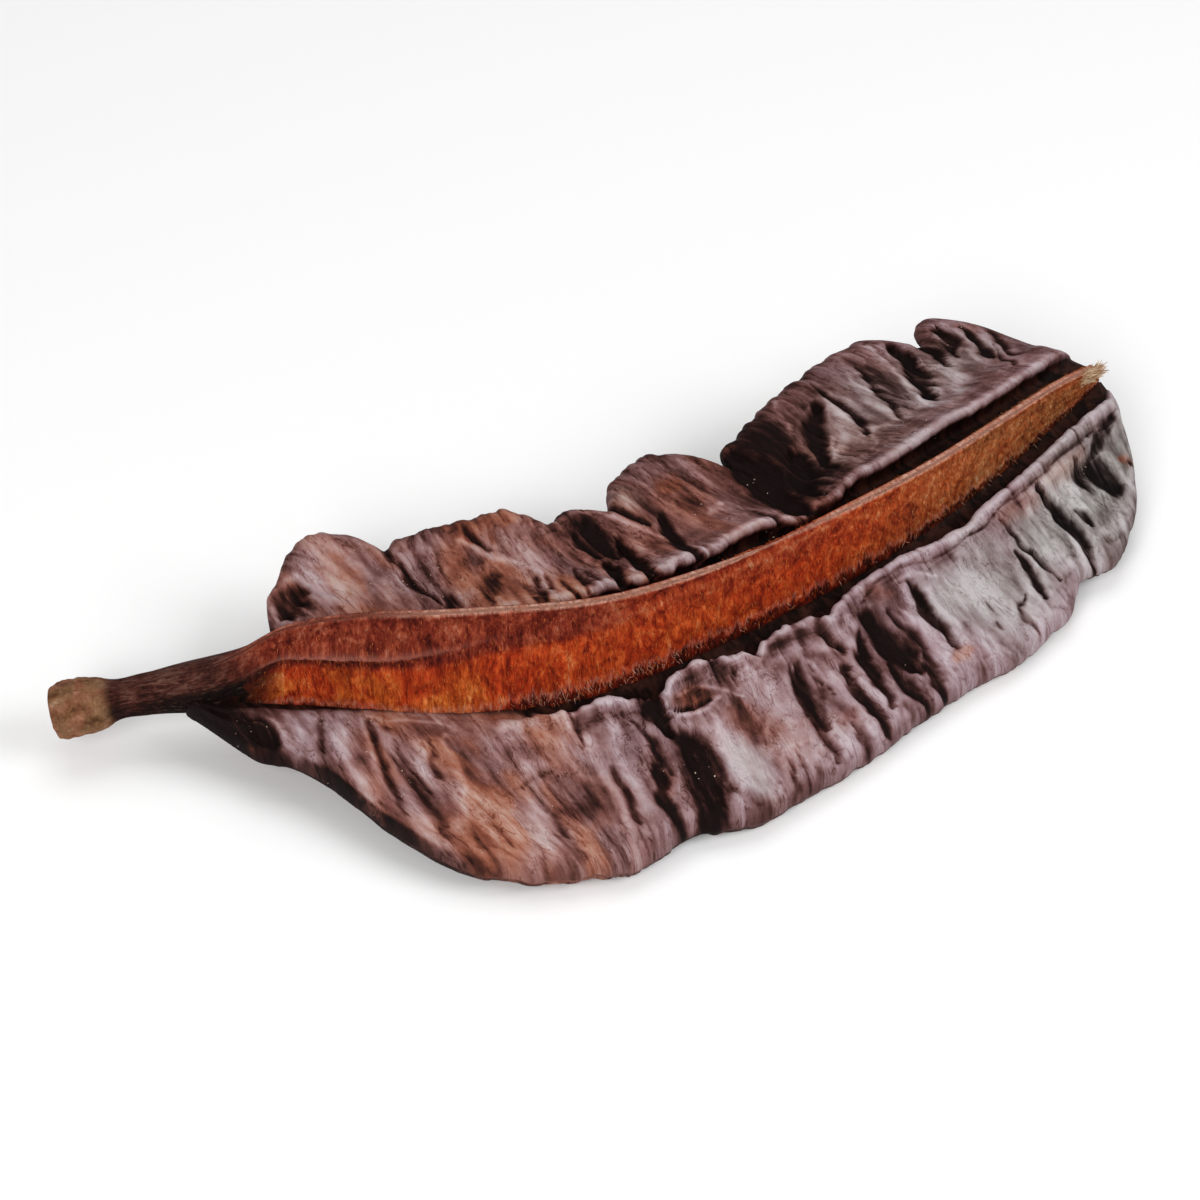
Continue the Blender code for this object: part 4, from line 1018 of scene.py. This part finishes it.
def pulpFinish():
    look = Shading("driedPulp")
    spread, times, attribute = look.spread, look.times, look.attribute
    names = ("broad", "blots", "warmth", "streaks", "rolled", "cracks", "lines", "hair")
    broad, blots, warmth, streaks, rolled, crackField, lineField, hair = (
        look.grain(*pulpSkin[name]) for name in names)
    pores, dust = look.speckle(1500.0, 4.0, 0.6), look.speckle(700.0, 4.0, 0.65)
    # streaks run across the wing, and round the lip instead of across it
    streaks = look.plus(times(streaks, spread(attribute("lipZone"), 0.1, 0.9, 1.0, 0.25)),
                        times(rolled, spread(attribute("lipZone"), 0.1, 0.9, 0.0, 0.75)))
    cracks = times(look.threads(crackField, 0.5, 0.028), spread(broad, 0.42, 0.56, 0.15, 1.0))
    lines = times(look.threads(lineField, 0.47, 0.024), spread(blots, 0.44, 0.58))
    centred = ((look.less(field, 0.5), weight) for field, weight in (
        (streaks, 0.36), (broad, 0.85), (hair, 0.07), (pores, 0.17), (blots, 0.56)))
    # painted light in the tone: broad lightness partly painted, painted sheen from the pale paint, a painted
    # highlight on the lip's rim, painted highlight and shade at the crests, and painted shade from the dark
    # paint, shade, wrinkles and edge
    tone = look.weigh(attribute("light"), centred)
    tone = look.weigh(tone, (
        (attribute("pale"), 0.27), (attribute("lipHighlight"), 0.40), (attribute("crest"), 0.15)))
    tone = look.less(tone, times(attribute("dark"), spread(streaks, 0.36, 0.62, 0.74, 0.36)))
    tone = look.weigh(tone, (
        (attribute("shade"), -0.26), (attribute("wrinkleShade"), -0.24), (attribute("edge"), -0.42),
        (cracks, -0.17), (lines, 0.08)))
    tone = look.plus(tone, spread(dust, 0.68, 0.8, 0.0, 0.14))
    lilac, rusty, ashen = (
        look.ramp(tone, pulpSkin["shades"], pulpSkin[name]) for name in ("lilac", "rusty", "ashen"))
    rustShare = times(attribute("rust"), spread(warmth, 0.38, 0.62, 0.4, 1.2))
    skin = look.coat(lilac, (
        # the ashen coat is partly the skin's greyer tint, partly painted reflection
        (look.calc("MINIMUM", attribute("cool"), 1.0), ashen),
        (look.calc("MINIMUM", rustShare, 0.9), rusty),
        # painted shade in the crevice beside the keel
        (attribute("crevice"), look.mix(spread(blots, 0.4, 0.7), *pulpSkin["creviceShadeColours"])),
    ))
    normal = look.bump(streaks, 0.0006, 0.3, look.bump(hair, 0.0002, 0.2))
    normal = look.bump(pores, 0.0002, 0.4, look.bump(look.less(lines, cracks), 0.0003, 0.45, normal))
    return look.finish(skin, spread(tone, 0.1, 0.8, 0.75, 0.5), pulpSkin["specular"], normal)


# Small growth on the pod: fibres and crumbs set out by a node tree over a patch of its skin. Sizes
# are in mm, and wildness is how far each one turns from its patch's direction.
growth = {
    "napNear": {"perSquareMm": 2.4, "length": 0.6, "thick": 0.10, "wild": 0.3, "seed": 3},
    "napFar": {"perSquareMm": 2.4, "length": 0.6, "thick": 0.10, "wild": 0.3, "seed": 4},
    "keelFringe": {"perSquareMm": 2.4, "length": 0.75, "thick": 0.11, "wild": 0.8, "seed": 5},
    "tipTuft": {"perSquareMm": 11.0, "length": 2.6, "thick": 0.36, "wild": 0.07, "seed": 6},
    "crumbsNear": {"perSquareMm": 1.0, "length": 0.13, "thick": 0.0, "wild": 3.0, "seed": 7},
    "crumbsFar": {"perSquareMm": 1.0, "length": 0.13, "thick": 0.0, "wild": 3.0, "seed": 8},
}
crumbSpots = {
    # (station, across, reach, crumbs per square mm)
    "crumbsNear": (
        (154, 12.5, 0.5, 2.0), (146, 9.5, 2.5, 0.25), (151, 11, 1.2, 0.5), (24, 13, 5, 0.12),
        # the crumbs at station 5.5 stand in for glints on the dark left end: a painted highlight
        (5.5, 10, 2.6, 0.14), (66, 22, 3, 0.25), (71, 26, 3, 0.18), (33, 20, 8, 0.06), (84, 16, 4, 0.05),
    ),
    "crumbsFar": (
        (39, 15, 2.5, 0.7), (36, 18, 4, 0.2), (96, 12, 6, 0.1), (109, 20, 2.5, 0.5), (137, 9, 4, 0.25),
        (50, 14, 6, 0.06),
    ),
}
fibreColours = {
    "napPlaces": (0.0, 0.5, 1.0),
    "napOrange": ((0.11, 0.010, 0.004), (0.40, 0.050, 0.010), (0.72, 0.20, 0.055)),
    "napBrown": ((0.09, 0.024, 0.008), (0.30, 0.105, 0.03), (0.55, 0.28, 0.13)),
    "paleFibre": ((0.34, 0.09, 0.035), (0.64, 0.40, 0.29)),
    "strawFibre": ((0.34, 0.17, 0.075), (0.68, 0.50, 0.33)),
    "paleCrumb": ((0.30, 0.18, 0.12), (0.62, 0.50, 0.40)),
}


def patchOf(name, points, density, lean, brownness=0.0):
    # an open sheet in mm with the growth's density and direction on its points
    rows, columns = points.shape[:2]
    mesh = bpy.data.meshes.new(name)
    mesh.from_pydata([tuple(p) for p in points.reshape(-1, 3) * mm], [], quadsOf(rows, columns).tolist())
    for key, values in (("density", density), ("brownness", brownness)):
        flat = np.broadcast_to(values, (rows, columns)).reshape(-1).astype(np.float32)
        mesh.attributes.new(key, "FLOAT", "POINT").data.foreach_set("value", flat)
    flat = np.ascontiguousarray(lean.reshape(-1), dtype=np.float32)
    mesh.attributes.new("lean", "FLOAT_VECTOR", "POINT").data.foreach_set("vector", flat)
    return mesh


def growthTree(name, isFibre, material):
    tree = bpy.data.node_groups.new(name, "GeometryNodeTree")
    sizes = ("Density", "Length", "Thickness", "Wildness")
    for label, kind in (("Geometry", "Geometry"), *((size, "Float") for size in sizes), ("Seed", "Int")):
        tree.interface.new_socket(label, in_out="INPUT", socket_type="NodeSocket" + kind)
    tree.interface.new_socket("Geometry", in_out="OUTPUT", socket_type="NodeSocketGeometry")

    def node(kind, wires, output=0, **settings):
        # adds a node, wires or sets its inputs, and gives back one of its outputs
        made = tree.nodes.new(kind)
        for key, value in settings.items():
            setattr(made, key, value)
        for socket, source in wires.items():
            if hasattr(source, "is_output"):
                tree.links.new(source, made.inputs[socket])
            else:
                made.inputs[socket].default_value = source
        return made.outputs[output] if len(made.outputs) else None

    def calc(operation, a, b):
        return node("ShaderNodeMath", {0: a, 1: b}, operation=operation)

    def chance(low, high, offset):
        # a random number or vector between the two
        seed = calc("ADD", given["Seed"], float(offset))
        if isinstance(low, tuple):
            return node("FunctionNodeRandomValue", {0: low, 1: high, "Seed": seed}, data_type="FLOAT_VECTOR")
        return node("FunctionNodeRandomValue", {2: low, 3: high, "Seed": seed}, 1, data_type="FLOAT")

    given = {socket.name: socket for socket in tree.nodes.new("NodeGroupInput").outputs if socket.name}
    density = node("GeometryNodeInputNamedAttribute", {"Name": "density"}, data_type="FLOAT")
    lean = node("GeometryNodeInputNamedAttribute", {"Name": "lean"}, data_type="FLOAT_VECTOR")
    density = calc("MULTIPLY", given["Density"], density)
    points = node("GeometryNodeDistributePointsOnFaces", {
        "Mesh": given["Geometry"], "Density": density, "Seed": given["Seed"]}, distribute_method="RANDOM")
    jitter = chance((-1.0, -1.0, -1.0), (1.0, 1.0, 1.0), 11)
    jitter = node("ShaderNodeVectorMath", {0: jitter, "Scale": given["Wildness"]}, operation="SCALE")
    heading = node("ShaderNodeVectorMath", {0: lean, 1: jitter}, operation="ADD")
    turned = node("FunctionNodeAlignRotationToVector", {"Vector": heading}, axis="Z")
    spin = node("FunctionNodeAxisAngleToRotation", {"Axis": (0.0, 0.0, 1.0), "Angle": chance(0.0, 6.283, 12)})
    rotation = node("FunctionNodeRotateRotation", {0: turned, 1: spin}, rotation_space="LOCAL")
    if isFibre:
        bend = {"Resolution": 3, "Start": (0.0, 0.0, 0.0)}
        for socket, y, z in (("Middle", 0.05, 0.55), ("End", 0.35, 1.0)):
            bend[socket] = node("ShaderNodeCombineXYZ", {
                "Y": calc("MULTIPLY", given["Length"], y), "Z": calc("MULTIPLY", given["Length"], z)})
        radius = calc("MULTIPLY", given["Thickness"], 0.5)
        ring = node("GeometryNodeCurvePrimitiveCircle", {"Resolution": 3, "Radius": radius}, mode="RADIUS")
        thinning = calc("MULTIPLY", node("GeometryNodeSplineParameter", {}, "Factor"), 0.7)
        shape = node("GeometryNodeCurveToMesh", {
            "Curve": node("GeometryNodeCurveQuadraticBezier", bend), "Profile Curve": ring,
            "Scale": calc("SUBTRACT", 1.0, thinning), "Fill Caps": True})
        low, high = (0.7, 0.7, 0.5), (1.2, 1.2, 1.3)
    else:
        shape = node("GeometryNodeMeshIcoSphere", {"Radius": given["Length"], "Subdivisions": 1})
        low, high = (0.4, 0.4, 0.3), (1.5, 1.1, 0.7)
    planted = node("GeometryNodeInstanceOnPoints", {
        "Points": points, "Instance": shape, "Rotation": rotation, "Scale": chance(low, high, 13)})
    tinted = node("GeometryNodeStoreNamedAttribute", {
        "Geometry": planted, "Name": "tint", "Value": chance(0.0, 1.0, 14),
    }, data_type="FLOAT", domain="INSTANCE")
    real = node("GeometryNodeRealizeInstances", {"Geometry": tinted})
    node("NodeGroupOutput", {0: node("GeometryNodeSetMaterial", {"Geometry": real, "Material": material})})
    return tree


def grow(name, host, material, isFibre=True):
    settings = growth[name]
    tree = growthTree(name, isFibre, material)
    carrier = bpy.data.objects.new(name + "Host", host)
    bpy.context.scene.collection.objects.link(carrier)
    modifier = carrier.modifiers.new("growth", "NODES")
    modifier.node_group = tree
    sizes = {"Density": settings["perSquareMm"] / mm**2, "Length": settings["length"] * mm,
             "Thickness": settings["thick"] * mm, "Wildness": settings["wild"], "Seed": settings["seed"]}
    for item in tree.interface.items_tree:
        if item.in_out == "INPUT" and item.name in sizes:
            modifier[item.identifier] = sizes[item.name]
    carrier.update_tag()
    mesh = bpy.data.meshes.new_from_object(carrier.evaluated_get(bpy.context.evaluated_depsgraph_get()))
    carrier.modifiers.clear()
    bpy.data.objects.remove(carrier)
    points = np.empty(len(mesh.vertices) * 3)
    mesh.vertices.foreach_get("co", points)
    points = points.reshape(-1, 3)
    turnOutwards(mesh, points - points.mean(0))
    mesh.name = name
    return addPiece(name, mesh)


def fibreFinish(name, specular=0.2):
    look = Shading(name)
    return look.finish(look.mix(look.attribute("tint"), *fibreColours[name]), 0.75, specular)


def napFinish():
    # the nap takes the flank's own colours: orange, with browner fibres towards the tip
    look = Shading("suedeFibre")
    orange, brown = (look.ramp(look.attribute("tint"), fibreColours["napPlaces"], fibreColours[name])
                     for name in ("napOrange", "napBrown"))
    return look.finish(look.mix(look.attribute("brownness"), orange, brown), 0.8, 0.15)


def makeGrowth(s, rise, flanks, wings):
    down = [np.gradient(flank, axis=1) for flank in flanks]
    along = [np.gradient(flank, axis=0) for flank in flanks]
    grown = []
    nap = napFinish()
    pale, straw = fibreFinish("paleFibre"), fibreFinish("strawFibre")
    station, level = s[:, None], rise[None, :]
    thinner = 1 - 0.5 * between(station, 16, 50, 8) * ease(level, 0.5, 0.66)
    napDensity = between(station, 13, 163, 4) * between(level, 0.03, 0.93, 0.05) * thinner
    for side, name in enumerate(("napNear", "napFar")):
        flow = unitOf(down[side])
        out = unitOf(np.cross(unitOf(along[side]), flow)) * (1 if side else -1)
        out = out * np.sign((out * (flanks[side] - flanks[1 - side])).sum(-1, keepdims=True))
        lean = 0.95 * flow + 0.2 * out
        host = patchOf(name + "Patch", flanks[side], napDensity, lean, ease(station, 100, 142))
        grown.append(grow(name, host, nap))
        if name == "napNear":
            fringe = between(station, 40, 160, 6) * between(level, 0.02, 0.13, 0.03)
            fringe = fringe * (0.16 + 0.84 * between(station, 50, 76, 6))
            host = patchOf("fringePatch", flanks[side], fringe, 0.7 * flow + 0.9 * out)
            grown.append(grow("keelFringe", host, pale))
    tuft = ease(station, 162, 165.5) * ease(level, 0.3, 0.7)
    host = patchOf("tuftPatch", flanks[0], tuft, unitOf(along[0]) + np.array([0.1, 0.0, 0.12]))
    grown.append(grow("tipTuft", host, straw))
    crumb = fibreFinish("paleCrumb")
    for name, (q, across, top) in zip(("crumbsNear", "crumbsFar"), wings):
        density = 0.003 + 0 * q
        for spot, d, reach, share in crumbSpots[name]:
            density = density + share * np.exp(-((q - spot) ** 2 + (across - d) ** 2) / reach**2)
        density = density * ease(across, 6.5, 8.5)
        up = np.broadcast_to(np.array([0.0, 0.0, 1.0]), top.shape)
        grown.append(grow(name, patchOf(name + "Patch", top, density, up), crumb, isFibre=False))
    return grown


studio = {
    "floor": 3.0,
    "floorColour": (0.94, 0.94, 0.94),
    "room": 0.36,
    "target": (-0.004774, 0.009402, 0.009910),
    "camera": (-0.1340, -0.3105, 0.3550),
    "lens": 90.0,
    "lamps": (
        # name, place, size, watts, colour
        ("windowLeft", (-0.50, -0.55, 0.62), 0.45, 4.8, (1.0, 0.99, 0.98)),
        ("windowRight", (0.55, -0.45, 0.62), 0.45, 3.5, (0.98, 0.99, 1.0)),
        ("skylight", (0.10, 0.30, 0.90), 0.6, 2.3, (1.0, 1.0, 1.0)),
    ),
}


def aim(thing, spot, target):
    thing.location = spot
    thing.rotation_mode = "QUATERNION"
    thing.rotation_quaternion = (Vector(target) - Vector(spot)).to_track_quat("-Z", "Y")
    bpy.context.scene.collection.objects.link(thing)


def makeFloor():
    size = studio["floor"]
    mesh = bpy.data.meshes.new("studioFloor")
    corners = [(-size, -size, 0), (size, -size, 0), (size, size, 0), (-size, size, 0)]
    mesh.from_pydata(corners, [], [(0, 1, 2, 3)])
    mesh.materials.append(Shading("paleFloor").finish(studio["floorColour"], 0.9, 0.1))
    floor = addPiece("studioFloor", mesh)


def makeStudio():
    for name, spot, size, watts, colour in studio["lamps"]:
        lamp = bpy.data.lights.new(name, "AREA")
        lamp.size = size
        lamp.energy = watts
        lamp.color = colour
        aim(bpy.data.objects.new(name, lamp), spot, studio["target"])
    world = bpy.data.worlds.new("paleRoom")
    world.use_nodes = True
    background = world.node_tree.nodes["Background"]
    background.inputs["Color"].default_value = (1.0, 1.0, 1.0, 1.0)
    background.inputs["Strength"].default_value = studio["room"]
    bpy.context.scene.world = world
    bpy.context.scene.view_settings.view_transform = "Standard"
    lens = bpy.data.cameras.new("photoCamera")
    lens.lens = studio["lens"]
    lens.sensor_width = 36.0
    camera = bpy.data.objects.new("photoCamera", lens)
    aim(camera, studio["camera"], studio["target"])
    bpy.context.scene.camera = camera


makeStudio()
makeFloor()
woodySpine, stations, rises, flanks = makeSpine()
wings = [makeWing("nearWing", nearWing, 7), makeWing("farWing", farWing, 17)]
pieces = [woodySpine, wings[0][0], wings[1][0]]
pieces += makeGrowth(stations, rises, flanks, [wing[1:] for wing in wings])
for piece in pieces:
    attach(piece, "root")
    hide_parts("prekese_pod")
